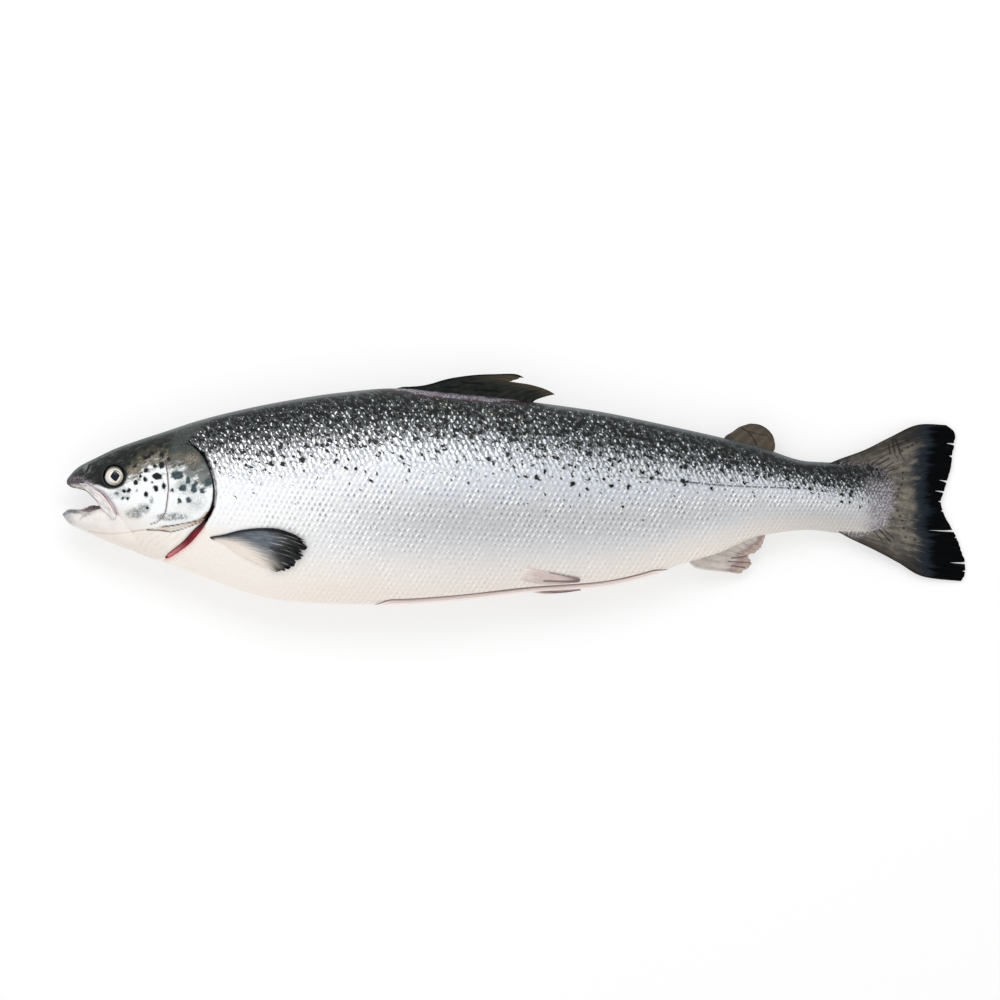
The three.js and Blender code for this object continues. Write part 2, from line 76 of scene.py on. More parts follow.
# Along, back, belly, half thickness, height of the middle plane, share of the way down where it is thickest.
STATIONS = [
    (3.7, 18.6, 10.4, 8.5, 28.5, 0.55), (15, 25.9, 6.0, 12.5, 29.5, 0.6), (29, 33.0, -3.4, 16.6, 30.6, 0.6),
    (43.6, 40.0, -27.0, 20.0, 32.0, 0.52), (60, 46.0, -45.1, 24.0, 33.3, 0.5), (85, 54.2, -54.3, 29.0, 35.2, 0.47),
    (112, 63.1, -64.5, 33.0, 37.0, 0.45), (145, 71.6, -76.6, 37.0, 38.4, 0.45), (180, 78.8, -85.6, 40.0, 39.2, 0.45),
    (230, 86.6, -88.8, 43.2, 40.0, 0.45), (275, 90.2, -89.4, 44.4, 40.4, 0.45), (320, 87.0, -86.8, 43.6, 39.8, 0.45),
    (390, 78.9, -79.2, 40.0, 37.2, 0.46), (445, 71.2, -75.2, 36.0, 33.8, 0.46),
    (488, 62.6, -65.9, 32.2, 30.4, 0.47), (510, 57.8, -57.2, 30.0, 28.6, 0.47),
    (545, 50.0, -46.6, 26.4, 25.6, 0.48), (580, 41.2, -32.2, 22.6, 22.2, 0.5), (620, 29.6, -27.4, 17.6, 17.8, 0.5),
    (650, 28.3, -30.6, 12.0, 14.2, 0.5), (672, 27.2, -31.6, 7.8, 11.2, 0.5), (691, 10.0, -16.0, 4.4, 8.6, 0.5),
]
# Along, top, bottom, half width.
JAW_STATIONS = [
    (0.2, -12.0, -17.0, 6.0), (6.5, -9.8, -22.8, 9.2), (15, -9.8, -27.0, 12.0), (26, -6.8, -32.0, 15.2),
    (42, -6.0, -38.8, 17.4), (58, -14.0, -44.4, 15.6), (76, -22.0, -45.0, 9.0),
]
MOUTH_STATIONS = [(7, 7, -13, 3.6), (18, 8, -14, 8.4), (30, 2, -14, 12), (56, -8, -20, 11)]


def smooth_line(xs, ys):
    """A line through the values at the stations that never overshoots them."""
    xs, ys = np.array(xs, float), np.array(ys, float)
    steps = np.diff(xs)
    rises = np.diff(ys) / steps
    before, after = 2 * steps[1:] + steps[:-1], steps[1:] + 2 * steps[:-1]
    turning = rises[:-1] * rises[1:] <= 0
    left, right = np.where(turning, 1, rises[:-1]), np.where(turning, 1, rises[1:])
    inner = np.where(turning, 0, (before + after) / (before / left + after / right))
    slopes = np.concatenate([rises[:1], inner, rises[-1:]])

    def line(x):
        inside = np.clip(x, xs[0], xs[-1])
        i = np.clip(np.searchsorted(xs, inside, side="right") - 1, 0, len(steps) - 1)
        t = (inside - xs[i]) / steps[i]
        a, b = t * t * (3 - 2 * t), t * t * (t - 1)
        return ys[i] * (1 - a) + ys[i + 1] * a + steps[i] * (slopes[i] * t * (1 - t) ** 2 + slopes[i + 1] * b)

    return line


def lines_of(stations, names):
    columns = np.array(stations, float).T
    return {name: smooth_line(columns[0], column) for name, column in zip(names, columns[1:])}


BODY = lines_of(STATIONS, ["back", "belly", "half", "mid", "widest"])
JAW = lines_of(JAW_STATIONS, ["top", "bottom", "half"])
MOUTH = lines_of(MOUTH_STATIONS, ["top", "bottom", "half"])


def ease(value, low, high):
    """0 below low, 1 above high, and smooth between them."""
    t = np.clip((np.asarray(value, float) - low) / (high - low), 0, 1)
    return t * t * (3 - 2 * t)


def bump(value, centre, width):
    return np.exp(-(((np.asarray(value, float) - centre) / width) ** 2))


def fullness(share, widest):
    """Thickness of a section from 0 at its back and belly edges to 1 at its widest."""
    skew = np.log(0.5) / np.log(widest)
    return np.maximum(np.sin(np.pi * np.clip(share, 0, 1) ** skew), 0) ** EDGE_FULLNESS


def rest(height):
    """The flesh gives softly where it meets the table."""
    soft = (height + SQUASH) ** 2 / (4 * SQUASH)
    return np.where(height > SQUASH, height, np.where(height < -SQUASH, 0, soft))


def flank(along, rise, side):
    """Height of the plain skin of one flank above the table."""
    share = (BODY["back"](along) - rise) / (BODY["back"](along) - BODY["belly"](along))
    return BODY["mid"](along) + side * BODY["half"](along) * fullness(share, BODY["widest"](along))


def rounded_end(distance, rounding):
    t = np.clip(distance / rounding, 0, 1)
    return np.sqrt(t * (2 - t))


def rounded_ends(along, start, end, tail=NOSE_ROUNDING):
    """Size of a shape along its length, from 0 at each end to 1 where its rounding ends."""
    return rounded_end(along - start, NOSE_ROUNDING) * rounded_end(end - along, tail)


def mouth_wall(along, spread, way):
    """Rise of the mouth's roof (way 1) or floor (-1). Spread is 1 at its middle and 0 at its sides."""
    top, bottom = MOUTH["top"](along), MOUTH["bottom"](along)
    return (top + bottom) / 2 + way * (top - bottom) / 2 * np.sqrt(spread)


def outline(points):
    """A curve through a few points of the side view, as a function of a share from 0 to 1."""
    points = np.array(points, float)
    last = len(points) - 1

    def at(share):
        p = np.clip(share, 0, 1) * last
        i = np.minimum(p.astype(int), last - 1)
        t = (p - i)[:, None]
        before, start = points[np.maximum(i - 1, 0)], points[i]
        end, after = points[i + 1], points[np.minimum(i + 2, last)]
        v0, v1 = (end - before) / 2, (after - start) / 2
        return (2 * start - 2 * end + v0 + v1) * t**3 + (3 * end - 3 * start - 2 * v0 - v1) * t**2 + v0 * t + start

    return at


def patch(edges):
    """Fills the patch between four outlines: base and margin run one way, leading and trailing the other."""
    base, margin, leading, trailing = (outline(edges[k]) for k in ("base", "margin", "leading", "trailing"))
    zero, one = np.zeros(1), np.ones(1)

    def at(a, b):
        a2, b2 = a[:, None], b[:, None]
        across = (1 - b2) * base(a) + b2 * margin(a)
        along = (1 - a2) * leading(b) + a2 * trailing(b)
        near = (1 - a2) * base(zero) + a2 * base(one)
        far = (1 - a2) * margin(zero) + a2 * margin(one)
        return across + along - (1 - b2) * near - b2 * far

    return at


def line_distance(x, y, points):
    """Distance in mm from each point of the side view to a line, positive on the right of its direction."""
    points = np.array(points, float)
    starts, ends = points[:-1], points[1:]
    best, sign = np.full(len(x), np.inf), np.ones(len(x))
    for (x0, y0), (x1, y1) in zip(starts, ends):
        dx, dy = x1 - x0, y1 - y0
        t = np.clip(((x - x0) * dx + (y - y0) * dy) / (dx * dx + dy * dy), 0, 1)
        far = np.hypot(x - x0 - t * dx, y - y0 - t * dy)
        nearer = far < best - 1e-6
        best = np.where(nearer, far, best)
        sign = np.where(nearer, np.where(dx * (y - y0) - dy * (x - x0) > 0, -1, 1), sign)
    return best * sign


# ---- Making pieces --------------------------------------------------------------------------------------
EYE_LOW, EYE_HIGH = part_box("eye_left")
DRAWN_ORIGIN = np.array([
    (EYE_LOW.x + EYE_HIGH.x) / 2 / MM - EYE["along"], (EYE_LOW.y + EYE_HIGH.y) / 2 / MM - EYE["rise"], 0,
])


def read_points(mesh):
    points = np.empty(len(mesh.vertices) * 3)
    mesh.vertices.foreach_get("co", points)
    return points.reshape(-1, 3)


def write_points(mesh, x, y, z):
    points = (np.stack([x, y, z], axis=1) + DRAWN_ORIGIN) * MM
    mesh.vertices.foreach_set("co", points.ravel())
    mesh.update()


def mesh_from(name, shape):
    mesh = bpy.data.meshes.new(name)
    shape.to_mesh(mesh)
    shape.free()
    return mesh


def turn_outwards(mesh):
    shape = bmesh.new()
    shape.from_mesh(mesh)
    bmesh.ops.recalc_face_normals(shape, faces=shape.faces[:])
    shape.to_mesh(mesh)
    shape.free()


def ball_mesh(name, around, rings):
    """A sphere, and for each point its step round it and the ring that it is on."""
    shape = bmesh.new()
    bmesh.ops.create_uvsphere(shape, u_segments=around, v_segments=rings, radius=1)
    mesh = mesh_from(name, shape)
    points = read_points(mesh)
    step = np.round(np.arctan2(points[:, 1], points[:, 0]) / (2 * np.pi) * around).astype(int) % around
    ring = np.round(np.arccos(np.clip(points[:, 2], -1, 1)) / np.pi * rings).astype(int)
    return mesh, step, ring


def slab_mesh(name, columns, rows):
    """A closed slab, and for each point its shares along, across and through it."""
    shape = bmesh.new()
    bmesh.ops.create_grid(shape, x_segments=columns, y_segments=rows, size=0.5)
    made = bmesh.ops.extrude_face_region(shape, geom=shape.faces[:])
    moved = [v for v in made["geom"] if isinstance(v, bmesh.types.BMVert)]
    bmesh.ops.translate(shape, verts=moved, vec=(0, 0, 1))
    bmesh.ops.translate(shape, verts=shape.verts[:], vec=(0.5, 0.5, 0))
    mesh = mesh_from(name, shape)
    return mesh, *read_points(mesh).T


def write_values(mesh, **values):
    for name, value in values.items():
        layer = mesh.attributes.new(name, "FLOAT", "POINT")
        layer.data.foreach_set("value", np.asarray(value, np.float32))


def write_map(mesh, name, u, v, shift=None):
    """A UV map from a value at each point, moved by shift on the faces where a piece's far side begins."""
    corners = np.empty(len(mesh.loops), int)
    mesh.loops.foreach_get("vertex_index", corners)
    places = np.stack([u[corners], v[corners]], axis=1)
    if shift is not None:
        places += shift
    mesh.uv_layers.new(name=name).data.foreach_set("uv", places.ravel())


def finish_piece(name, mesh, finish, replaces=(), sharp=60):
    turn_outwards(mesh)
    mesh.materials.clear()
    mesh.materials.append(finish)
    mesh.polygons.foreach_set("use_smooth", [True] * len(mesh.polygons))
    mesh.set_sharp_from_angle(angle=math.radians(sharp))
    piece = bpy.data.objects.new(name, mesh)
    bpy.context.scene.collection.objects.link(piece)
    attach(piece, "root")
    if replaces:
        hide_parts(*replaces)
    return piece


# ---- Shader wiring --------------------------------------------------------------------------------------
class Signal:
    """A node's output. Arithmetic with it adds math nodes to its tree."""

    def __init__(self, wiring, socket):
        self.wiring, self.socket = wiring, socket

    def __abs__(self):
        return self.wiring.calculate("ABSOLUTE", self)

    def spread(self, low, high, full=1.0, empty=0.0, smooth=True):
        """Empty up to low, full from high on, and between them on the way. Low may be the larger of the two."""
        kind = "SMOOTHSTEP" if smooth else "LINEAR"
        inputs = {0: self, 1: low, 2: high, 3: empty, 4: full}
        return self.wiring.node("ShaderNodeMapRange", inputs, interpolation_type=kind)[0]


def arithmetic(operation, swapped):
    """What an operator does with the signal on its left, or on its right where swapped."""
    return lambda signal, other: signal.wiring.calculate(operation, *((other, signal) if swapped else (signal, other)))


OPERATIONS = {"add": "ADD", "sub": "SUBTRACT", "mul": "MULTIPLY", "truediv": "DIVIDE", "pow": "POWER"}
for operator_name, operation_name in OPERATIONS.items():
    setattr(Signal, f"__{operator_name}__", arithmetic(operation_name, False))
    setattr(Signal, f"__r{operator_name}__", arithmetic(operation_name, True))


class Sockets:
    """A node's outputs, read as signals, or its inputs, each set to a value or linked to a signal."""

    def __init__(self, wiring, sockets):
        self.wiring, self.sockets = wiring, sockets

    def __getitem__(self, key):
        return Signal(self.wiring, self.sockets[key])

    def __setitem__(self, key, value):
        if isinstance(value, Signal):
            self.wiring.tree.links.new(value.socket, self.sockets[key])
        else:
            self.sockets[key].default_value = value


class Wiring:
    """Adds nodes to a node tree. Indexed by a name, it reads that attribute of the mesh."""

    def __init__(self, tree):
        self.tree = tree

    def __getitem__(self, name):
        return self.node("ShaderNodeAttribute", attribute_name=name)["Fac"]

    def add(self, kind, inputs=None, **settings):
        made = self.tree.nodes.new(kind)
        for name, value in settings.items():
            setattr(made, name, value)
        sockets = Sockets(self, made.inputs)
        for key, value in (inputs or {}).items():
            sockets[key] = value
        return made

    def node(self, kind, inputs=None, **settings):
        return Sockets(self, self.add(kind, inputs, **settings).outputs)

    def math(self, operation, *values, clamp=False):
        return self.node("ShaderNodeMath", dict(enumerate(values)), operation=operation, use_clamp=clamp)[0]

    def vector(self, operation, *values):
        made = self.node("ShaderNodeVectorMath", dict(enumerate(values)), operation=operation)
        return made["Value" if operation in ("LENGTH", "DOT_PRODUCT") else "Vector"]

    def blend(self, share, low, high, way="MIX"):
        inputs = {0: share, 6: colour(low), 7: colour(high)}
        return self.node("ShaderNodeMix", inputs, data_type="RGBA", blend_type=way)[2]

    def calculate(self, operation, *values):
        """Vector math where one of the values is a vector, and plain math where none is."""
        kinds = [value.socket.type if isinstance(value, Signal) else type(value) for value in values]
        return (self.vector if "VECTOR" in kinds or tuple in kinds else self.math)(operation, *values)

    def layers(self, base, layers):
        """A colour with others laid over it in turn, each by its own share."""
        for share, tone in layers:
            base = self.blend(share, base, tone)
        return base

    def choose(self, share, low, high):
        return self.node("ShaderNodeMix", {0: share, 4: low, 5: high}, data_type="VECTOR")[1]

    def ramp(self, value, stops):
        made = self.add("ShaderNodeValToRGB", {0: value})
        elements = made.color_ramp.elements
        while len(elements) < len(stops):
            elements.new(0.5)
        for element, (place, tone) in zip(elements, stops):
            element.position, element.color = place, colour(tone)
        return Signal(self, made.outputs[0])

    def turn(self, vector, angle):
        return self.node("ShaderNodeVectorRotate", {"Vector": vector, "Angle": angle}, rotation_type="Z_AXIS")[0]

    def noise(self, vector, scale, detail=2.0, roughness=0.5):
        inputs = {"Vector": vector, "Scale": scale, "Detail": detail, "Roughness": roughness}
        return self.node("ShaderNodeTexNoise", inputs)[0]

    def parts(self, vector):
        return self.node("ShaderNodeSeparateXYZ", {0: vector})

    def join(self, x, y, z=0.0):
        return self.node("ShaderNodeCombineXYZ", {0: x, 1: y, 2: z})[0]

    def map(self, name):
        return self.node("ShaderNodeUVMap", uv_map=name)[0]

    def place(self):
        """Object coordinates in millimetres."""
        return self.vector("MULTIPLY", self.node("ShaderNodeTexCoord")["Object"], (1 / MM,) * 3)

    def group(self, name, **inputs):
        named = {key.capitalize(): value for key, value in inputs.items()}
        return self.node("ShaderNodeGroup", named, node_tree=shared_group(name))


def colour(tone):
    """A colour socket's value: sRGB shares are given, and Blender works in linear light."""
    if isinstance(tone, Signal):
        return tone
    return (*[((c + 0.055) / 1.055) ** 2.4 if c > 0.04045 else c / 12.92 for c in tone[:3]], 1)


def new_group(name, inputs, outputs):
    """A node group whose sockets are all plain values, except for the vector Place."""
    tree = bpy.data.node_groups.new(name, "ShaderNodeTree")
    for way, labels in (("INPUT", inputs), ("OUTPUT", outputs)):
        for label in labels:
            kind = "NodeSocketVector" if label == "Place" else "NodeSocketFloat"
            tree.interface.new_socket(label, in_out=way, socket_type=kind)
    w = Wiring(tree)
    return w, w.node("NodeGroupInput"), Sockets(w, w.add("NodeGroupOutput").inputs)


def new_finish(name, **fixed):
    """A material with its Principled shader's plain values set, and the wiring that draws the rest."""
    finish = bpy.data.materials.new(name)
    finish.use_nodes = True
    w = Wiring(finish.node_tree)
    shader = Sockets(w, finish.node_tree.nodes["Principled BSDF"].inputs)
    for key, value in fixed.items():
        shader[key.replace("_", " ")] = value
    return finish, w, shader


def lift_surface(w, shader, height, strength, distance):
    inputs = {"Height": height, "Strength": strength, "Distance": distance * MM}
    shader["Normal"] = w.node("ShaderNodeBump", inputs)[0]


def moisten(w, shader, mottle, rough, strength, distance):
    """The wet, finely lifted surface that the mottled finishes share."""
    shader["Roughness"] = mottle["Grain"] * 0.2 + rough
    shader["Coat Weight"] = mottle["Patches"] * 0.5
    lift_surface(w, shader, mottle["Grain"], strength, distance)


def scale_group(skin):
    """Rows of overlapping scales on a map measured in scales. Grains of silver on the dark back grow and close
    up down the flank while dark blotches thin out, and each scale has a painted highlight, a bright dash along
    its fore edge, with painted shade behind it."""
    w, given, out = new_group(
        "Overlapping scales",
        ["Place", "Silver", "Relief"],
        ["Grain", "Gap", "Blotch", "Streak", "Gleam", "Height", "Chance", "Second chance"],
    )
    silver = given["Silver"]
    pitch = (1, 2, 1)
    even = w.vector("SNAP", given["Place"] + (0.5, 1, 0), pitch)
    odd = w.vector("SNAP", given["Place"], pitch) + (0.5, 1, 0)
    size = (skin.scale_length, skin.scale_row, 1)
    from_even = (given["Place"] - even) * size
    from_odd = (given["Place"] - odd) * size
    nearer = w.math("LESS_THAN", w.vector("LENGTH", from_odd), w.vector("LENGTH", from_even))
    local, centre = w.choose(nearer, from_even, from_odd), w.choose(nearer, even, odd)
    chance = w.node("ShaderNodeTexWhiteNoise", {"Vector": centre})
    hues = w.parts(chance["Color"])
    ragged = w.node("ShaderNodeTexNoise", {"Vector": given["Place"], "Scale": 1.7, "Detail": 2.0})["Color"]
    ragged = ragged * (3.0, 3.0, 0) - (1.5, 1.5, 0)
    jitter = chance["Color"] * (1.8, 1.5, 0) - (0.9, 0.75, 0)

    # a grain of silver on each scale, leaning back a little
    loose = local + jitter + ragged
    turned = w.turn(loose, hues[1] - 0.15)
    spare = 1.0 - w.vector("LENGTH", turned / (0.85, 2.05, 1))
    back_level = hues[0] * 0.9 + silver.spread(-0.5, 0.05, -0.6, -1.05)
    level = w.math("MAXIMUM", silver * 1.3 + hues[0] * 0.9 - 0.85, back_level)
    gap = spare.spread(-0.2, -0.85) * (chance["Value"] * 0.8 + 0.2)
    grain = (level + spare).spread(-0.2, 0.3)
    # fine streaks that lean the same way, and dark blotches: some a scale or two in size, some ragged
    leaning = w.turn(given["Place"] * size, 0.65)
    streak = w.noise(leaning * (1.1, 0.36, 1), 1.0, 2.0, 0.6)
    ragged_blotch = w.noise(leaning * (0.25, 0.155, 1), 1.0, 2.5, 0.6) - (silver * 0.12 + 0.53)
    beside = ragged * (0.8, 0.8, 0) + loose - (0.5, -0.6, 0)
    narrow = w.turn(beside, hues[2] * 1.6 - 0.4) / (1.9, 2.6, 1)
    rarity = silver.spread(-0.2, 1.4, 1.0, 0.7, smooth=False) + ragged_blotch * -0.8
    spot = 1.0 - w.vector("LENGTH", narrow) + w.math("MINIMUM", (chance["Value"] - rarity) * 6.0, 0.25)
    blotch = w.math("MAXIMUM", ragged_blotch.spread(-0.008, 0.02), spot.spread(0.1, 0.35))

    # painted highlight along the fore edge of each scale, and painted shade on the skin behind it
    nudged = jitter * (0.45, 0.45, 0) + local + ragged * (0.35, 0.35, 0)
    across = w.vector("DOT_PRODUCT", nudged, (0.8, 0.6, 0))
    down = abs(w.vector("DOT_PRODUCT", nudged, (0.6, -0.8, 0)))
    dash = abs(across + 0.9).spread(0.85, 0.15) * down.spread(2.7, 1.2) * (hues[2] * 0.9 + 0.45)
    shade = w.vector("LENGTH", (nudged - (0.95, 0.55, 0)) / (1.25, 1.7, 1))
    shade = shade.spread(1.2, 0.2) * (hues[1] * 0.7 + 0.15)
    lift = w.vector("DOT_PRODUCT", local, (0.13, 0.05, 0)) + 0.5
    out["Grain"], out["Gap"], out["Blotch"], out["Streak"] = grain, gap, blotch, streak
    out["Gleam"] = (dash - shade) * given["Relief"]
    out["Height"] = lift * given["Relief"]
    out["Chance"], out["Second chance"] = hues[2], hues[1]
    return w.tree


def mottle_group():
    """Soft patches of a given size, and a fine grain, at a place in millimetres."""
    w, given, out = new_group("Mottled flesh", ["Place", "Size"], ["Patches", "Grain"])
    inputs = {0: given["Place"], "Scale": 1.0 / given["Size"]}
    shrunk = w.node("ShaderNodeVectorMath", inputs, operation="SCALE")[0]
    out["Patches"] = w.noise(shrunk, 1.0, 3.0, 0.6)
    out["Grain"] = w.noise(given["Place"], 1.4, 3.0, 0.6)
    return w.tree


def ray_group():
    """Fin rays fanning along a map whose first share runs across the rays and second out along them."""
    w, given, out = new_group("Fin rays", ["Place", "Rays", "Length", "Seed"], ["Ridge", "Streak", "Wander"])
    parts = w.parts(given["Place"])
    warp = w.noise(given["Place"], 2.2, 1.0) * 0.05 - 0.025
    across = (parts[0] + warp) * given["Rays"]
    out["Ridge"] = w.math("COSINE", across * (2 * math.pi)) * -0.5 + 0.5
    fine = w.join(across * 2.6, parts[1] * given["Length"], given["Seed"])
    wide = w.join(across, parts[1] * 2.0, given["Seed"])
    out["Streak"] = w.noise(fine, 1.0, 3.0, 0.65)
    out["Wander"] = w.noise(wide, 0.6, 2.0)
    return w.tree


def shared_group(name):
    """The shader node groups that several finishes use are each built once."""
    makers = {
        "Overlapping scales": lambda: scale_group(bpy.context.scene.salmon_skin),
        "Mottled flesh": mottle_group,
        "Fin rays": ray_group,
    }
    return bpy.data.node_groups.get(name) or makers[name]()


# ---- Head and trunk -------------------------------------------------------------------------------------
COVER_EDGE = [
    (104, 44), (109, 41.5), (113.5, 38), (118.3, 32), (122, 24), (124.8, 14.5), (125.7, 6), (125.2, -2.5),
    (123.2, -9.8), (119.5, -16), (115, -19.3), (105.9, -21.2), (92.1, -23.8), (80.5, -24.9), (70, -26.4),
]
MEMBRANE_EDGE = [
    (119.6, -16.4), (115.2, -20.4), (109.2, -24), (106.9, -27.8), (104.1, -32.8), (99.3, -38.1), (93, -43.4),
    (84.7, -48.7),
]
GILL_OPENING = outline([
    [106, 46], [119.5, 32.5], [126.8, 14], [127, -4], [119.6, -19.5], [110.8, -29.6], [102, -38.8], [86.6, -50],
])
opening_width = smooth_line(
    [0, 0.15, 0.5, 0.6, 0.68, 0.76, 0.86, 0.95, 1], [0.8, 1.6, 2.0, 2.6, 3.9, 4.3, 3.9, 3.2, 1.4]
)
CHEEK_CREASE = [
    (85.5, 31), (86.6, 27), (88.1, 17.7), (88.7, 6.6), (87.6, -3.5), (86.4, -12), (83.4, -17), (79, -21), (74, -22.5),
]
JAW_CREASE = [(22, -28.2), (30, -29.8), (42, -30.6), (54, -29.4), (66, -27.6), (76, -26.4), (90, -24.6)]
LATERAL_LINE = smooth_line(
    [3, 127, 200, 280, 380, 480, 554, 612, 642, 691], [40, 35, 30.5, 26.5, 21.2, 16.1, 9.3, 7.1, 5.5, 1.7]
)
NOSTRIL = [(20.0, 20.6), (21.2, 22.4), (22.8, 26.2)]
LIP = [(3.9, 12.6), (4.4, 10.6), (7.7, 8.2), (11, 7.4), (15, 6.2), (18.5, 4.9)]
COVER_LIFT = {"full": 2.6, "front": 66, "rear": 102}
CUT = {"from": 236, "to": 527, "steepness": 2.6, "width": 4.4, "above_middle": 6.0}
SNOUT = {"drop": 1.9, "until": 15, "bluntness": 0.7}

# Where along the head its dark crown begins (white below) and is fully dark.
CROWN_ALONG = [0, 10, 16, 22, 32, 43, 53, 62, 75, 90, 105, 113, 118, 140]
crown_low = smooth_line(CROWN_ALONG, [5, 5, 8, 9.5, 8.5, 5.5, 9, 13, 20, 20, 17, 12, 9, 26])
crown_high = smooth_line(CROWN_ALONG, [11, 11.5, 14, 12.5, 11, 8.5, 27, 42, 48, 47, 47, 42, 36, 52])
# Share of the way down the flank where the silver grains begin and where they have closed up.
SILVER_ALONG = [110, 140, 280, 364, 447, 530, 613, 654, 691]
silver_from = smooth_line(SILVER_ALONG, [0.11, 0.12, 0.12, 0.09, 0.11, 0.15, 0.22, 0.26, 0.28])
silver_full = smooth_line(SILVER_ALONG, [0.4, 0.41, 0.375, 0.41, 0.46, 0.48, 0.5, 0.61, 0.66])

# Dark spots on the head: along, rise, half length, half depth.
HEAD_SPOTS = [
    (69.9, 22.3, 2.2, 1.9), (77.5, 25.5, 1.6, 1.6), (83, 27, 2.4, 3), (79.6, 17.2, 4, 2.6), (69.3, 14.7, 1.9, 2.2),
    (65.2, 17.5, 1.2, 1.2), (61.4, 12.4, 1.6, 1.8), (77.9, 7.3, 1.9, 2.4), (84.6, 8.8, 1.7, 2.6), (69.9, 2.4, 1.8, 2),
    (96.2, 18.1, 5.2, 3.4), (105.2, 13.9, 1.8, 2.4), (100.4, 7.5, 2.8, 2.6), (109.7, 7.1, 2.4, 3.4),
    (116.9, 5.2, 2, 2), (122, 12.6, 2.8, 3), (97.6, -3.2, 1.6, 2.2), (105.5, -2.2, 1.9, 2), (91.5, 5.8, 1.2, 1.5),
    (52, 5, 1.4, 1.4), (55.5, 5.2, 1.8, 1.6), (45.3, 3.2, 1.3, 1.1), (50.7, -1, 1.2, 1.2), (54.7, -1, 1.1, 1),
    (60.6, 35, 2, 2), (53, 32, 2.2, 1.8), (60.2, 40.9, 2, 1.6), (69.5, 40.9, 2.2, 1.8), (38.2, 27, 2.6, 1.8),
    (55.5, 27.8, 1.4, 1.3), (60.6, 25.5, 1.8, 1.6), (83, 35.4, 1.6, 2), (89.8, 39.3, 1.8, 1.2), (88.8, 31.6, 1.4, 1.4),
    (71, -9, 0.8, 1), (62.6, 5.4, 0.9, 0.9), (75, 12.4, 0.8, 0.8), (112, 12, 1.2, 1.6),
    (53, 37.2, 1.4, 1.2), (81.5, 43, 2.2, 1.6), (94.2, 41.3, 1.8, 1.2), (94.2, 37.1, 1.4, 1.1), (75.2, 36.6, 1.3, 1.2),
    (69.3, 32.9, 1.6, 1.2), (72.5, 33.9, 1.1, 1), (108.5, 28.6, 1.2, 1), (108, 35, 1, 1),
]


def cover_lift(along, rise):
    """How far the gill cover, the membrane under it and the creases of the head stand off the plain flank."""
    inside = line_distance(along, rise, COVER_EDGE)
    front = ease(along, COVER_LIFT["front"], COVER_LIFT["rear"])
    top = 1 - ease(rise, 34, 46)
    stand = COVER_LIFT["full"] * ease(inside, 0, 1.3) * front * top
    membrane = line_distance(along, rise, MEMBRANE_EDGE)
    below = 1 - ease(inside, -1.0, 0.4)
    stand += 1.2 * ease(membrane, 0, 1.4) * ease(along, 62, 84) * below * ease(-rise, 14, 22)
    folds = np.abs(line_distance(along, rise, CHEEK_CREASE))
    stand -= 0.7 * bump(folds, 0, 0.9) * (1 - ease(rise, 27, 32))
    stand += 0.35 * bump(folds, 2.6, 1.6)
    return stand


def opening_reach(along, rise):
    """Distance from the middle of the gill opening as a share of its width, and how far along it that is."""
    shares = np.linspace(0, 1, 80)
    near = np.full(len(along), np.inf)
    width, where = np.ones(len(along)), np.zeros(len(along))
    for share, (x, y) in zip(shares, GILL_OPENING(shares)):
        far = np.hypot(along - x, rise - y)
        closer = far < near
        near = np.where(closer, far, near)
        width = np.where(closer, opening_width(share), width)
        where = np.where(closer, share, where)
    return near / width, where


def opening_depth(along, rise):
    """Depth of the groove behind the gill cover, where the gills show low down."""
    return 5.4 * (1 - ease(opening_reach(along, rise)[0], 0.32, 0.75))


def eye_dish(along, rise):
    far = np.hypot(along - EYE["along"], rise - EYE["rise"])
    return -3.4 * (1 - ease(far, 7.6, 9.6)) + 0.5 * bump(far, 10.6, 1.3)


def relief(along, rise):
    """How far the skin stands off the plain flank, in millimetres."""
    stand = cover_lift(along, rise) - opening_depth(along, rise) + eye_dish(along, rise)
    stand -= 1.1 * bump(line_distance(along, rise, NOSTRIL), 0, 0.9)
    return np.where(along < 150, stand, 0)


def body_rings():
    """Where along the fish each ring of its skin lies: close together over the head and at both ends."""
    start, end = STATIONS[0][0], STATIONS[-1][0]
    nose = start + NOSE_ROUNDING * (1 - np.cos(np.linspace(0, np.pi / 2, 13)))
    head = np.arange(nose[-1] + HEAD_PITCH, HEAD_END, HEAD_PITCH)
    trunk = np.arange(head[-1] + TRUNK_PITCH, end - TAIL_ROUNDING - 1, TRUNK_PITCH)
    tail = end - TAIL_ROUNDING * np.cos(np.linspace(0, np.pi / 2, 18))
    return np.concatenate([nose, head, trunk, tail])


def cut_line(along):
    """How strongly the cut along the belly shows, and the rise of the left flap's edge."""
    share = (along - CUT["from"]) / (CUT["to"] - CUT["from"])
    fade = np.clip(np.sin(np.pi * np.clip(share, 0, 1)) * CUT["steepness"], 0, 1)
    return fade, BODY["belly"](along) + CUT["width"] * fade


# Size of the scales along the fish, as a share of the largest.
scale_pace = smooth_line([100, 300, 480, 600, 691], [0.96, 1.0, 0.97, 0.82, 0.62])
# The scales are added up in steps of this length, to a place behind the tail.
COUNT_STEP, COUNT_END = 2.0, 760
# Moves the right flank to another part of the map, so that its random scales aren't those of the left.
RIGHT_SHIFT = (60.0, 40.0)


def scale_counts(along, rise):
    """How many scales back from the snout, and how many rows below the lateral line, a point of the side view is."""
    skin = bpy.context.scene.salmon_skin
    steps = np.arange(0, COUNT_END, COUNT_STEP)
    counts = np.concatenate([[0], np.cumsum(COUNT_STEP / scale_pace(steps[1:]) / skin.scale_length)])
    return np.interp(along, steps, counts), (LATERAL_LINE(along) - rise) / (skin.scale_row * scale_pace(along))


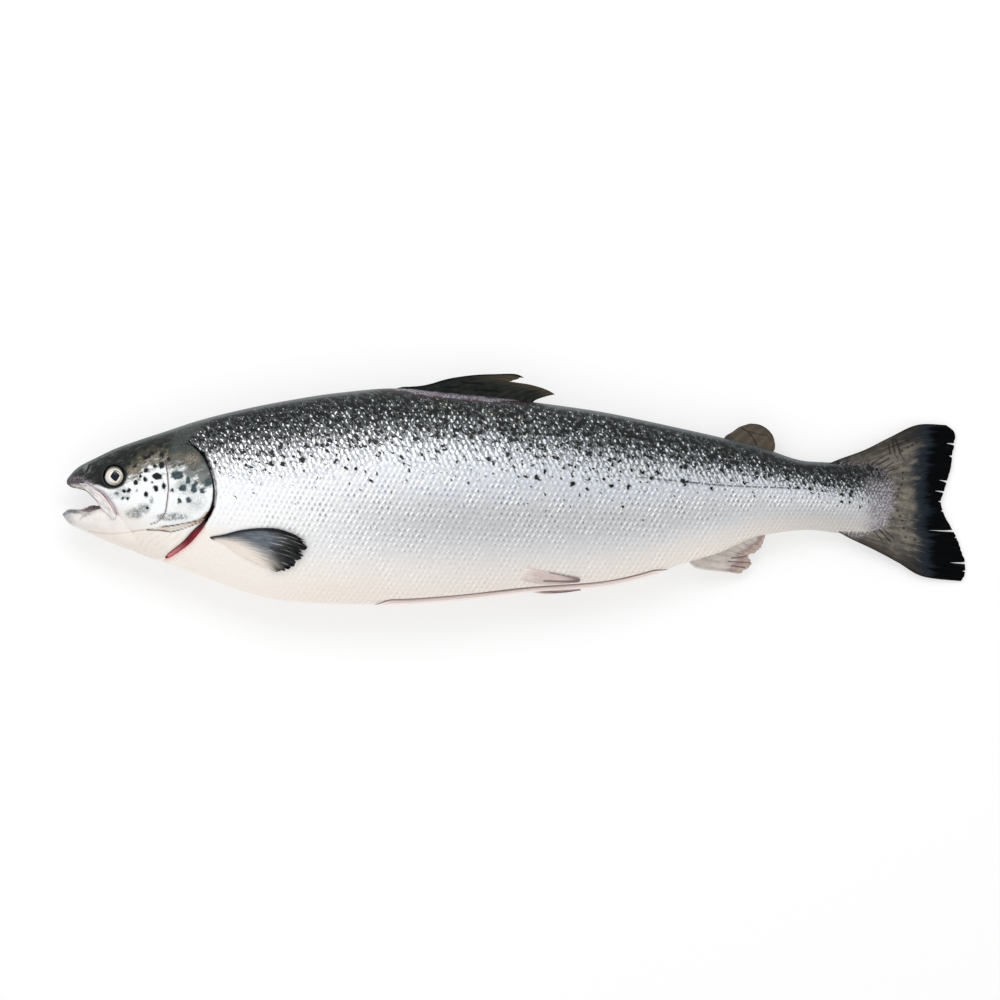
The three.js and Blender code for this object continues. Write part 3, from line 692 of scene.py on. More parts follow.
def write_scale_map(mesh, rings, step, ring, around):
    """Scales are counted along the body, and down each flank from its lateral line."""
    skin = bpy.context.scene.salmon_skin
    pace = scale_pace(rings)
    half = around // 2
    downs = (1 - np.cos(np.linspace(0, np.pi, half + 1))) / 2
    lengths = np.zeros((len(rings), half + 1))
    for i, x in enumerate(rings):
        top, low = BODY["back"](x), BODY["belly"](x)
        size = rounded_ends(x, rings[0], rings[-1], TAIL_ROUNDING)
        ys = (top + low) / 2 + (0.5 - downs) * (top - low) * size
        zs = BODY["half"](x) * size * fullness(downs, BODY["widest"](x))
        run = np.concatenate([[0], np.cumsum(np.hypot(np.diff(ys), np.diff(zs)))])
        lengths[i] = (run - np.interp(-LATERAL_LINE(x), -ys, run)) / (skin.scale_row * pace[i])
    counted = lengths[ring, np.where(step <= half, step, around - step)]
    # the seam between the flanks runs along the back and the belly
    corners = np.empty(len(mesh.loops), int)
    mesh.loops.foreach_get("vertex_index", corners)
    starts = np.empty(len(mesh.polygons), int)
    totals = np.empty(len(mesh.polygons), int)
    mesh.polygons.foreach_get("loop_start", starts)
    mesh.polygons.foreach_get("loop_total", totals)
    far = (step[corners] > half).astype(float)
    right = np.repeat(np.maximum.reduceat(far, starts), totals) > 0
    shift = np.where(right[:, None], RIGHT_SHIFT, (0.0, 0.0))
    write_map(mesh, "scales", scale_counts(rings, 0 * rings)[0][ring], counted, shift)


def body_skin(finish, around=220):
    """Head and trunk in one closed skin."""
    rings = body_rings()
    mesh, step, ring = ball_mesh("skin", around, len(rings) - 1)
    along = rings[ring]
    size = rounded_ends(along, rings[0], rings[-1], TAIL_ROUNDING)
    turn = step * 2 * np.pi / around
    down = (1 - np.cos(turn)) / 2
    side = np.where(turn <= np.pi, LEFT, RIGHT)
    back, belly = BODY["back"](along), BODY["belly"](along)
    size **= np.where(along < 60, SNOUT["bluntness"], 1)
    drop = SNOUT["drop"] * (1 - ease(along, rings[0], SNOUT["until"]))
    rise = (back + belly) / 2 - drop + (0.5 - down) * (back - belly) * size
    thick = BODY["half"](along) * size * fullness(down, BODY["widest"](along))
    edge = ease(down, 0, 0.04) * (1 - ease(down, 0.97, 1))
    stand = relief(along, rise) * edge * size
    # the roof of the mouth
    spread = np.clip(1 - ((thick + stand) / MOUTH["half"](along)) ** 2, 0, 1)
    roof = mouth_wall(along, spread, 1)
    in_mouth = (along > 7) & (along < 50) & (spread > 0) & (rise < roof) & (down > 0.5)
    roof = np.where(in_mouth, roof, rise)
    height = BODY["mid"](along) + side * (thick + stand)
    # the left flap of the belly ends a little short of the right one
    fade, flap = cut_line(along)
    below = ease(flap - rise, -0.4, 0.4) * np.where(fade > 0, 1, 0)
    ledge = np.minimum(height, BODY["mid"](along) + CUT["above_middle"])
    slit = ledge - 0.5 * bump(rise, flap - 0.6, 0.7) * fade
    height = np.where(side == LEFT, height * (1 - below) + slit * below, height)
    write_points(mesh, along, roof, rest(height))

    write_scale_map(mesh, rings, step, ring, around)
    write_skin_values(mesh, along, rise, down, side)
    return finish_piece("skin", mesh, finish, replaces=["fish"], sharp=75)


# Soft patches on the head: along, rise, half length, half depth, strength.
HEAD_PATCHES = {
    "grey": [
        (60, -13.5, 9, 6, 0.75), (68, -9.5, 7, 6, 0.65), (20.6, 23.5, 4.2, 5, 0.55), (92, -16.5, 17, 4, 0.9),
        (74.5, -2.5, 2.4, 4.5, 0.6), (117, 20, 6, 9, 0.9), (113, -3, 10, 10, 0.35), (41, 1.5, 12, 4.5, 0.35),
        (104, 9, 14, 10, 0.5), (50, 2.8, 10, 6, 0.5), (107.6, 19, 4.4, 2.6, 1), (98, 22, 12, 4, 0.6),
    ],
    "tan": [(59.5, 22, 6, 5, 0.75), (108, 31, 8, 6.5, 0.7), (97, 34, 7, 4, 0.35), (104, -9, 14, 8, 0.15)],
    "mauve": [(13.5, 12.5, 9, 6, 0.8), (21, 11, 7, 4, 0.7)],
    # pale: the two patches below the eye are partly pale skin and partly painted glare
    "pale": [(29.5, 9, 5, 1.5, 1), (24.3, 10, 1.5, 1.2, 0.8), (10.5, 8.8, 7, 1.7, 0.9)],
}


def patch_strength(along, rise, patches):
    total = np.zeros(len(along))
    for x, y, length, depth, strength in patches:
        reach = np.hypot((along - x) / length, (rise - y) / depth)
        total = np.maximum(total, strength * (1 - ease(reach, 0.3, 1.25)))
    return total


def write_skin_values(mesh, along, rise, down, side):
    """What the finish needs to know at each point of the skin."""
    behind = line_distance(along, rise, COVER_EDGE)
    scaled = ease(-line_distance(along, rise, [(101, 60), (104, 44), *COVER_EDGE[1:11], *MEMBRANE_EDGE[2:]]), 0, 3)
    scaled = np.where(along < 60, 0, scaled) * np.where(rise > 38, ease(along - 0.9 * rise, 48, 78), 1)
    silver = (down - silver_from(along)) / (silver_full(along) - silver_from(along))
    crown = (rise - crown_low(along)) / (crown_high(along) - crown_low(along))
    spots = np.full(len(along), FAR)
    for x, y, length, depth in HEAD_SPOTS:
        reach = np.hypot((along - x) / length, (rise - y) / depth)
        spots = np.minimum(spots, (reach - 1) * min(length, depth))
    fade, flap = cut_line(along)
    throat = ease(-rise, 20, 34) * (1 - ease(along, 122, 150))
    slit = np.interp(rise, [-14, -5, 10, 20, 44], [3.0, 1.9, 1.4, 1.1, 0.7])
    reach, where = opening_reach(along, rise)
    middle_line = line_distance(along, rise, GILL_OPENING(np.linspace(0, 1, 40)))
    below = BODY["back"](along) - rise
    beside_dorsal = ease(along, 246, 308) * (1 - ease(along, 345, 410))
    membrane = line_distance(along, rise, MEMBRANE_EDGE)
    second_edge = np.abs(behind + np.interp(along, [72, 91, 101, 112, 118], [1, 4.8, 4.2, 1.8, 0.8]))
    head_lines = {
        "crease": CHEEK_CREASE, "jaw_crease": JAW_CREASE, "bone": JAW_BONE["leading"], "nostril": NOSTRIL, "lip": LIP,
    }
    write_values(
        mesh,
        down=down,
        scaled=scaled,
        silver=np.clip(silver, -0.5, 4),
        crown=np.clip(crown, -1, 2),
        spots=spots,
        **{name: patch_strength(along, rise, patches) for name, patches in HEAD_PATCHES.items()},
        **{name: np.abs(line_distance(along, rise, line)) for name, line in head_lines.items()},
        chin=ease(-rise, 2, 14) * (1 - ease(along + 0.6 * rise, 48, 72)),
        slate=ease(along, 86, 96),
        # rim: depth below the back's outline, where a painted sheen lightens the ridge of the back and the crown
        rim=below + 9 * beside_dorsal,
        dorsal_band=below + 7 * (1 - beside_dorsal),
        gold=beside_dorsal * (1 - ease(below, 12, 26)),
        arcs=np.where((rise < -14) & (membrane > 0) & (behind < 0), membrane, 0),
        breast=np.where((where > 0.62) & (middle_line < 0), -middle_line - 0.42 * opening_width(where), FAR),
        second_edge=np.where((rise < -12) & (along > 70), second_edge, FAR),
        # bright: share towards the head, where the silver and the belly are lighter, partly with painted highlight
        bright=ease(-along, -420, -130),
        trough=bump(down, 0.6, 0.16) * ease(along, 150, 330) * (1 - 0.6 * ease(along, 520, 600)),
        dusk=ease(along, 520, 680) * ease(down, 0.5, 0.8),
        # relief: how strongly the scales' bump and their painted highlight and shade show
        relief=(1 - 0.75 * ease(down, 0.55, 0.85)) * ease(down, 0.02, 0.2) * (0.3 + 0.7 * ease(along, 140, 200))
        * (1 - (1 - ease(along, 165, 230)) * ease(down, 0.6, 0.7)),
        warmth=np.maximum(
            ease(down, 0.68, 0.97) * (0.75 + 0.25 * ease(-along, -330, -150)),
            0.9 * np.maximum(throat, 0.8 * ease(-rise, 26, 46) * (1 - ease(along, 165, 215))),
        ),
        # slit: distance behind the gill cover's edge as a share of the gap, where painted shadow darkens it
        slit=np.where(rise > -18, behind / slit, FAR * np.sign(behind)),
        cover=np.where(rise < -12, np.abs(behind), FAR) + 20 * ease(-along, -84, -72),
        opening=np.where(where > 0.45, reach, FAR),
        pink=ease(where, 0.72, 0.97),
        eye_reach=np.hypot(along - EYE["along"], rise - EYE["rise"]),
        eye_shadow=np.hypot((along - 40.5) / 1.25, rise - 17.8),
        cut=np.where(side == LEFT, rise - flap, FAR) + FAR * (1 - fade),
        lateral=ease(along, 440, 500) * (1 - ease(along, 610, 650)),
        tail=ease(along + 0.12 * np.abs(rise), 654, 689),
    )


def tail_tone(w, scales):
    """Fine grey scales, lighter towards the belly, that run out over the root of the tail fin."""
    upright = w.parts(w.place())[1]
    base = w.ramp(upright.spread(-38.0, 24.0, smooth=False), [
        (0.0, (0.48, 0.46, 0.46)), (0.2, (0.58, 0.56, 0.58)), (0.5, (0.44, 0.42, 0.45)), (0.75, (0.32, 0.31, 0.32)),
        (0.95, (0.2, 0.2, 0.2)),
    ])
    spots = upright.spread(2.0, 14.0) * scales["Blotch"]
    fine = w.noise(w.place(), 0.75, 2.0, 0.7)
    net = (scales["Gleam"] * 0.16 + fine).spread(0.5, 0.66)
    net = net * upright.spread(22.0, -6.0, 0.6, 0.25)
    tone = w.blend(net, base, (0.84, 0.835, 0.85))
    tone = w.blend(fine.spread(0.46, 0.34, 0.5), tone, (0.24, 0.23, 0.24))
    return w.blend(spots, tone, (0.07, 0.07, 0.08))


def skin_finish():
    """Silver scales under a dark back, a smooth spotted head, and blushed flesh along the throat and belly."""
    skin = bpy.context.scene.salmon_skin
    finish, w, shader = new_finish("salmon skin", Coat_Roughness=0.12, Specular_IOR_Level=0.22, Coat_IOR=1.36)
    place, count = w.place(), w.map("scales")
    scales = w.group("Overlapping scales", place=count, silver=w["silver"], relief=w["relief"])
    mottle = w.group("Mottled flesh", place=place, size=7.0)
    broad = w.group("Mottled flesh", place=place, size=46.0)
    silver, warmth = w["silver"], w["warmth"]
    scaled = (w["scaled"] + mottle["Patches"] - 0.5).spread(0.3, 0.7)

    # scaled flank: its silver is lighter towards the head, partly its own tone and partly painted highlight
    bright = broad["Patches"] * 0.4 + w["bright"] * 0.85 - 0.25
    flank = w.blend(w.math("MINIMUM", bright, 1.0), skin.rear_silver, skin.front_silver)
    blueness = scales["Second chance"] * w["down"].spread(0.6, 0.45, 0.15)
    flank = w.layers(flank, [
        (w["trough"] * 0.65, skin.shade_colour),
        (warmth * 0.95, skin.belly_colour),
        # the belly is whiter towards the head, partly with painted highlight
        (warmth * w["bright"].spread(0.7, 1.0, 0.45), (0.995, 0.975, 0.955)),
        (w["dusk"] * 0.6, (0.64, 0.635, 0.62)),
        (blueness, (0.7, 0.78, 0.95)),
    ])
    hue = w.ramp(w.noise(place, 0.035, 2.0), [
        (0.38, (0.04, 0.07, 0.08)), (0.5, (0.07, 0.07, 0.05)), (0.62, (0.05, 0.05, 0.1)),
    ])
    back = w.blend(scales["Chance"] * 0.6, skin.back_colour, hue)
    depth = silver + scales["Streak"] * 1.6 - 0.8 + mottle["Patches"] * 0.8 - 0.4
    dull = w.blend(scales["Streak"].spread(0.45, 0.75), back, (0.28, 0.32, 0.33))
    between = w.blend(depth.spread(0.1, 1.0), dull, flank)
    lit = w.blend(silver.spread(-0.5, 0.0), (0.5, 0.53, 0.53), flank)
    yellow = (w["gold"] * 0.85 + 0.12) * silver.spread(0.9, 0.4)
    lit = w.blend(yellow * scales["Chance"], lit, (0.72, 0.71, 0.52))
    flank = w.blend(scales["Grain"], between, lit)
    seam = scales["Gap"] * silver.spread(1.3, 0.7, 0.5)
    flank = w.layers(flank, [
        (seam, (0.4, 0.43, 0.44)),
        (scales["Blotch"], w.blend(0.6, back, (0.01, 0.01, 0.015))),
    ])
    # the scales' painted highlight and shade lighten and darken the silver flank, stronger in some noise patches than
    # in others
    gleam_patches = w.noise(place, 0.06, 2.0).spread(0.35, 0.65, 1.0, 0.4)
    gleam = silver.spread(0.6, 1.3, 0.85, 0.15) * gleam_patches
    gleam = scales["Gleam"] * gleam + 1.0
    gleam = gleam + scales["Streak"] * 0.3 - 0.15
    flank = w.blend(1.0, flank, w.join(gleam, gleam, gleam), way="MULTIPLY")
    row = w.parts(count)[1]
    dashes = w.noise(count * (1.4, 0.3, 1), 1.0, 1.0)
    dots = abs(row).spread(0.26, 0.12) * dashes.spread(0.42, 0.52)
    flank = w.blend(dots * (w["lateral"] * 0.75), flank, skin.back_colour)
    # smooth skin along the ridge of the back, lighter at the outline with painted sheen, and painted shade for a groove
    # on each side of the dorsal fin's root, with painted glints speckled on the lighter band between them
    rim = w["rim"].spread(4.2, 1.2) * scales["Streak"].spread(0.3, 0.7, 1.0, 0.4)
    wavy = w.noise(place, 0.16, 3.0, 0.65) * 7.0 - 3.5
    band = w["dorsal_band"] + wavy + mottle["Grain"] * 2.0 - 1.0
    speckle = w.noise(place, 0.8, 2.0, 0.7).spread(0.42, 0.62)
    light_band = band.spread(4.8, 3.8) * band.spread(0.2, 1.4)
    ending = w["tail"] + mottle["Patches"] * 0.9 - 0.45 + scales["Streak"] * 0.6 - 0.3
    flank = w.layers(flank, [
        (rim * 0.8, (0.38, 0.41, 0.42)),
        (band.spread(6.6, 5.4, 0.85), (0.16, 0.08, 0.11)),
        (light_band * speckle, (0.6, 0.59, 0.63)),
        (band.spread(2.2, 1.2) * speckle.spread(0.9, 0.3), (0.13, 0.09, 0.12)),
        (ending.spread(0.1, 0.9), tail_tone(w, scales)),
    ])

    # head: the lighter streaks on the dark crown and the band along its outline are painted sheen, and the pale patches
    # below the eye partly painted glare
    fine = w.noise(place, 0.8, 3.0, 0.65)
    swept = w.noise(w.turn(place, -0.35) * (0.15, 0.45, 0.3), 1.0, 3.0, 0.65)
    crown = w["crown"] + mottle["Patches"] * 1.1 - 0.55 + fine * 0.35 - 0.17 + swept * 0.9 - 0.45
    head = w.ramp(crown, [
        (0.0, skin.cheek_colour), (0.12, (0.78, 0.79, 0.78)), (0.3, (0.5, 0.49, 0.46)), (0.5, (0.3, 0.28, 0.22)),
        (0.75, (0.13, 0.13, 0.1)), (1.0, (0.04, 0.05, 0.045)),
    ])
    sheen = swept.spread(0.46, 0.68) * crown.spread(0.5, 0.9, 0.55)
    mauve = w["mauve"].spread(0.0, 0.6) * swept.spread(0.3, 0.55, 1.0, 0.5)
    tan = w["tan"] * mottle["Patches"].spread(0.25, 0.5, 1.0, 0.5)
    grey = mottle["Patches"] + fine * 0.9 - 0.45
    grey = w["grey"].spread(0.0, 0.8) * grey.spread(0.28, 0.62, 0.95, 0.15)
    edge = mottle["Grain"] * 1.8 - 0.9 + w.noise(place, 0.33, 1.0) * 3.0 - 1.5
    slate = w.blend(fine.spread(0.4, 0.6), (0.16, 0.22, 0.24), (0.28, 0.34, 0.36))
    spot = w.blend(w["slate"], (0.03, 0.04, 0.06), slate)
    spots = w["spots"] + edge
    lip = w["lip"] + fine * 2.4 - 1.3
    arc = w.math("SINE", w["arcs"] * 1.25)
    arc = arc.spread(0.75, 0.98) * w["arcs"].spread(0.5, 3.0)
    head = w.layers(head, [
        (w["slate"] * crown.spread(-0.2, 0.3, 0.8), (0.25, 0.27, 0.26)),
        (sheen, (0.3, 0.33, 0.31)),
        (fine.spread(0.46, 0.38) * crown.spread(0.4, 0.9), (0.02, 0.03, 0.03)),
        (w["rim"].spread(4.0, 1.0) * fine.spread(0.35, 0.6, 0.8, 0.3), (0.38, 0.42, 0.42)),
        (fine.spread(0.5, 0.72, 0.4) * crown.spread(0.3, 0.0), (0.66, 0.71, 0.74)),
        (w["chin"] * 0.9, (0.915, 0.895, 0.88)),
        (mauve, w.blend(fine.spread(0.4, 0.62), (0.2, 0.19, 0.2), (0.47, 0.44, 0.47))),
        (w["pale"] * fine.spread(0.38, 0.56), (0.9, 0.89, 0.9)),
        (tan, w.blend(fine.spread(0.45, 0.62), (0.58, 0.53, 0.47), (0.28, 0.25, 0.22))),
        (grey, (0.47, 0.49, 0.49)),
        (warmth * 0.75, skin.belly_colour),
        (w["eye_shadow"].spread(12.0, 9.6), (0.04, 0.045, 0.05)),
        (w["eye_reach"].spread(10.6, 9.2), (0.03, 0.03, 0.035)),
        (spots.spread(1.4, 0.2, 0.4) * crown.spread(0.3, 0.0), (0.5, 0.54, 0.56)),
        (spots.spread(0.5, -0.35), spot),
        (w["nostril"].spread(1.3, 0.6), (0.02, 0.02, 0.03)),
        (w["crease"].spread(1.7, 0.9, 0.25), (0.7, 0.6, 0.62)),
        (w["crease"].spread(0.8, 0.3) * fine.spread(0.3, 0.5, 0.9, 0.6), (0.25, 0.2, 0.22)),
        (w["jaw_crease"].spread(0.9, 0.3, 0.4), (0.55, 0.42, 0.38)),
        (w["bone"].spread(3.0, 0.8, 0.6), (0.74, 0.71, 0.76)),
        # painted shadow: a dark line on the skin along the jaw bone's leading edge
        (w["bone"].spread(0.9, 0.3, 0.5), (0.45, 0.37, 0.4)),
        (lip.spread(1.5, 0.8, 0.95), (0.1, 0.08, 0.09)),
        (arc * mottle["Patches"].spread(0.4, 0.6, 0.25), (0.66, 0.64, 0.62)),
    ])

    tone = w.blend(scaled, head, flank)
    under_cover = w["second_edge"].spread(4.4, 2.4) * w["cover"].spread(4.4, 2.4)
    rough_edge = mottle["Patches"].spread(0.3, 0.5, 1.0, 0.5)
    brown = w.math("MAXIMUM", w["cover"].spread(1.2, 0.45), w["second_edge"].spread(1.2, 0.4)) * rough_edge
    # painted shadow: a near-black line in the gap under the gill cover's rear edge
    slit = w["slit"].spread(-1.25, -0.8) * w["slit"].spread(0.3, -0.1)
    groove = w.blend(w["breast"].spread(9.0, 2.0), (0.2, 0.03, 0.07), (0.62, 0.16, 0.22))
    groove = w.blend(w["pink"], groove, (0.88, 0.5, 0.5))
    # painted shadow: a dark line under the left flap's edge along the cut, with a fainter dark line below it
    cut = w["cut"].spread(0.6, 0.15) * w["cut"].spread(-0.9, -0.4)
    under = w["cut"].spread(-2.0, -2.4) * w["cut"].spread(-3.2, -2.8)
    tone = w.layers(tone, [
        (under_cover * 0.75, (0.8, 0.72, 0.65)),
        (brown * 0.85, (0.38, 0.29, 0.23)),
        (w["breast"].spread(5.5, -0.5, 0.8), (0.93, 0.68, 0.68)),
        (slit, (0.05, 0.02, 0.03)),
        (w["opening"].spread(0.75, 0.5), groove),
        (w["cut"].spread(0.6, -0.2), skin.flesh_colour),
        ((cut + under * 0.3) * 0.85, (0.38, 0.27, 0.25)),
    ])
    shader["Base Color"] = tone

    shine = scaled * w.math("SUBTRACT", scales["Grain"], scales["Blotch"], clamp=True)
    shader["Metallic"] = shine * 0.25
    shader["Roughness"] = mottle["Grain"] * 0.2 + 0.28
    shader["Coat Weight"] = broad["Patches"] * 0.15
    lift_surface(w, shader, scales["Height"] * scaled + mottle["Grain"] * 0.25, 0.5, 0.4)
    return finish


# ---- Mouth ----------------------------------------------------------------------------------------------
JAW_BONE = {
    "base": [[20.4, 11.2], [13.6, 11.6]],
    "margin": [[45.4, -14.4], [44.2, -17.4], [40.4, -18.2]],
    "leading": [[20.4, 11.2], [26.8, 7.8], [33.7, 4.7], [38.6, -0.5], [42.6, -6.6], [45.4, -14.4]],
    "trailing": [[13.6, 11.6], [17.2, 7.6], [24, 1.3], [29.4, -4.7], [34.1, -11.8], [40.4, -18.2]],
}
# How far the jaw bone stands out from the fish's middle plane.
jaw_bow = smooth_line([13.9, 24, 34, 43.4], [11.2, 12.8, 15.0, 17.6])
TONGUE = {"along": 33, "rise": -13.5, "length": 17, "depth": 3.6, "width": 6.5}
# Lines on the chin: the first is painted shadow under the near rim of the mouth, the second a crease of the skin.
JAW_MARKS = [[(16.5, -10), (19.5, -11.6), (22.4, -13.6)], [(15.2, -18.2), (17, -16.4), (20, -15)]]


def lower_jaw(finish, around=128, rings=120):
    """A trough with a hollow top that runs back into the throat. Its far wall stands higher at the corner."""
    mesh, step, ring = ball_mesh("lower_jaw", around, rings)
    start, end = JAW_STATIONS[0][0], JAW_STATIONS[-1][0]
    share = ring / rings
    share = share**1.5 / (share**1.5 + (1 - share) ** 1.2)
    along = start + (end - start) * share
    size = rounded_ends(along, start, end)
    turn = step * 2 * np.pi / around
    top, bottom = JAW["top"](along), JAW["bottom"](along)
    up = np.sign(np.cos(turn)) * np.abs(np.cos(turn)) ** np.where(np.cos(turn) > 0, 0.6, 1)
    rise = (top + bottom) / 2 + up * size * (top - bottom) / 2
    across = np.sin(turn) * size * JAW["half"](along)
    far_wall = ease(along, 13, 27) * (1 - ease(along, 44, 56)) * ease(-across, 2, 8)
    dip = bump(along, 23.5, 7) * ease(across, -3, 3)
    rise += (3.4 * far_wall - 4.6 * dip) * np.maximum(up, 0)
    spread = np.clip(1 - (across / MOUTH["half"](along)) ** 2, 0, 1)
    floor = mouth_wall(along, spread, -1)
    hollow = (along > 6) & (along < 54) & (rise > floor) & (spread > 0)
    shaped = np.where(hollow, floor, rise)
    inside = np.where(hollow | (far_wall * np.maximum(up, 0) > 0.25), 1.0, 0.0)
    write_points(mesh, along, shaped, BODY["mid"](along) + across)
    marks = np.minimum(*(np.abs(line_distance(along, shaped, line)) for line in JAW_MARKS))
    write_values(
        mesh,
        inside=inside,
        lip=(top + bottom) / 2 + 0.42 * (top - bottom) - 4 * dip - shaped + 3 * ease(along, 20, 30),
        tip=ease(-along, -13, -2),
        dark_lip=0.35 + 0.6 * ease(-along, -18, -10),
        marks=np.where(inside > 0, FAR, marks),
        jaw_crease=np.abs(line_distance(along, shaped, JAW_CREASE)) + np.where(inside > 0, 5, 0),
        low=ease(-shaped, 20, 34),
    )
    return finish_piece("lower_jaw", mesh, finish)


def jaw_bone(name, side, finish):
    """The upper jaw bone, a blade that swings down across the corner of the mouth."""
    mesh, a, b, c = slab_mesh(name, 14, 48)
    x, y = patch(JAW_BONE)(a, b).T
    crown = 0.8 * np.sin(np.pi * a) ** 0.6 - 1.1 * (1 - ease(np.minimum(a, 1 - a), 0, 0.12))
    outer = jaw_bow(x) + 1.3 + crown
    inner = jaw_bow(x) + 1.3 - 3.4
    outwards = c if side == LEFT else 1 - c
    write_points(mesh, x, y, BODY["mid"](x) + side * np.where(outwards > 0.5, outer, inner))
    write_map(mesh, "blade", a, b)
    return finish_piece(name, mesh, finish, sharp=50)


def mouth_teeth(finish):
    """Small pointed teeth along both jaws."""
    shape = bmesh.new()
    rows = {-1: np.linspace(6.5, 15, 6), 1: np.linspace(3.5, 21, 8)}
    for side in SIDES.values():
        for way, places in rows.items():
            upright = Matrix.Rotation(math.radians(-90 * way), 3, "X")
            for i, x in enumerate(places):
                length = 1.7 - 0.4 * (i % 2)
                if way > 0:
                    y, half = JAW["top"](x) - 0.6, JAW["half"](x) * 0.62 * rounded_end(x - 0.2, NOSE_ROUNDING)
                else:
                    y, half = BODY["belly"](x) + 0.9, BODY["half"](x) * 0.55
                place = [float(v) for v in (x, y + way * length * 0.3, BODY["mid"](x) + side * half)]
                made = bmesh.ops.create_cone(
                    shape, cap_ends=True, segments=7, radius1=0.5, radius2=0.06, depth=length
                )
                bmesh.ops.rotate(shape, verts=made["verts"], matrix=upright, cent=(0, 0, 0))
                bmesh.ops.translate(shape, verts=made["verts"], vec=place)
    mesh = mesh_from("teeth", shape)
    write_points(mesh, *read_points(mesh).T)
    return finish_piece("teeth", mesh, finish)


def tongue(finish):
    mesh = ball_mesh("tongue", 40, 24)[0]
    x, z, y = read_points(mesh).T
    groove = -0.25 * bump(z, 0, 0.25) * (y > 0)
    along = TONGUE["along"] + x * TONGUE["length"]
    write_points(
        mesh, along, TONGUE["rise"] + (y + groove) * TONGUE["depth"], BODY["mid"](TONGUE["along"]) + z * TONGUE["width"]
    )
    return finish_piece("tongue", mesh, finish)


def flesh_finish(name, light, deep):
    """Moist, mottled flesh."""
    finish, w, shader = new_finish(name, Coat_Roughness=0.1, Subsurface_Scale=0.002)
    mottle = w.group("Mottled flesh", place=w.place(), size=4.0)
    shader["Base Color"] = w.blend(mottle["Patches"].spread(0.3, 0.7), light, deep)
    moisten(w, shader, mottle, 0.2, 0.4, 0.4)
    return finish


def jaw_finish():
    """Pale throat skin, grey at the tip, with dark lips round a pink mouth."""
    skin = bpy.context.scene.salmon_skin
    finish, w, shader = new_finish("jaw skin", Coat_Roughness=0.12)
    mottle = w.group("Mottled flesh", place=w.place(), size=5.0)
    tone = w.blend(mottle["Patches"].spread(0.35, 0.65), (0.905, 0.885, 0.87), (0.875, 0.855, 0.84))
    fine = w.noise(w.place(), 0.8, 3.0, 0.65)
    lip = w["lip"] + fine * 9.0 - 4.5
    dark_lip = w.blend(mottle["Grain"].spread(0.4, 0.6), (0.09, 0.1, 0.12), (0.45, 0.47, 0.5))
    tone = w.layers(tone, [
        (w["low"] * 0.7, skin.belly_colour),
        (w["tip"] * fine.spread(0.3, 0.6, 0.9, 0.2), (0.5, 0.51, 0.53)),
        (lip.spread(3.6, 1.6) * w["dark_lip"], dark_lip),
        # tan skin round the chin's lines and a dark line on each: painted shadow on the first, a crease on the second
        (w["marks"].spread(2.6, 0.6, 0.35), (0.8, 0.7, 0.64)),
        (w["marks"].spread(0.7, 0.2, 0.6), (0.42, 0.33, 0.33)),
        (w["inside"], w.blend(fine.spread(0.4, 0.62), (0.66, 0.6, 0.62), (0.36, 0.32, 0.35))),
        (w["jaw_crease"].spread(0.8, 0.2, 0.3), (0.6, 0.46, 0.42)),
    ])
    shader["Base Color"] = tone
    moisten(w, shader, mottle, 0.22, 0.3, 0.3)
    return finish


def bone_finish():
    """The jaw bone's skin: pale, with a dark and pink rim, and painted shade in a groove along its leading edge."""
    finish, w, shader = new_finish("jaw bone skin", Coat_Roughness=0.12)
    mottle = w.group("Mottled flesh", place=w.place(), size=3.0)
    parts = w.parts(w.map("blade"))
    fine = w.noise(w.map("blade") * (9.0, 7.0, 1.0), 1.0, 3.0, 0.6)
    tone = w.blend(fine.spread(0.38, 0.62), (0.92, 0.9, 0.895), (0.77, 0.75, 0.745))
    rim = w.ramp(parts[0], [
        (0.0, (0.78, 0.75, 0.8)), (0.1, (0.74, 0.67, 0.7)), (0.18, (0.76, 0.64, 0.6)), (0.27, (0.66, 0.58, 0.56)),
        (0.34, (0.98, 0.97, 0.96)),
    ])
    # painted shade in the groove along the leading edge
    groove = abs(parts[0] - 0.19).spread(0.08, 0.03) * parts[1].spread(0.8, 0.5)
    rim = w.blend(groove, rim, (0.42, 0.28, 0.32))
    rim_share = (parts[0] + fine * 0.16 - 0.08).spread(0.4, 0.32) * parts[1].spread(0.15, 0.35)
    lower = 1.0 - parts[0]
    lower = lower.spread(0.16, 0.04, 0.9) * parts[1].spread(0.65, 0.35, 1.0, 0.15)
    tone = w.layers(tone, [
        (rim_share, rim),
        (lower, (0.25, 0.2, 0.23)),
        (parts[1].spread(0.5, 0.0, 0.8) * fine.spread(0.42, 0.56), (0.5, 0.47, 0.49)),
    ])
    shader["Base Color"] = tone
    moisten(w, shader, mottle, 0.2, 0.3, 0.3)
    return finish


# ---- Eyes and gills -------------------------------------------------------------------------------------
def eyeball(name, side, finish, node):
    mesh = ball_mesh(name, 96, 64)[0]
    x, y, z = read_points(mesh).T
    height = flank(EYE["along"], EYE["rise"], side) + side * (EYE["bulge"] - EYE["depth"])
    write_values(mesh, across=x * EYE["radius"], upright=y * EYE["radius"])
    write_points(
        mesh, EYE["along"] + x * EYE["radius"], EYE["rise"] + y * EYE["radius"], height + z * EYE["depth"]
    )
    return finish_piece(name, mesh, finish, replaces=[node])


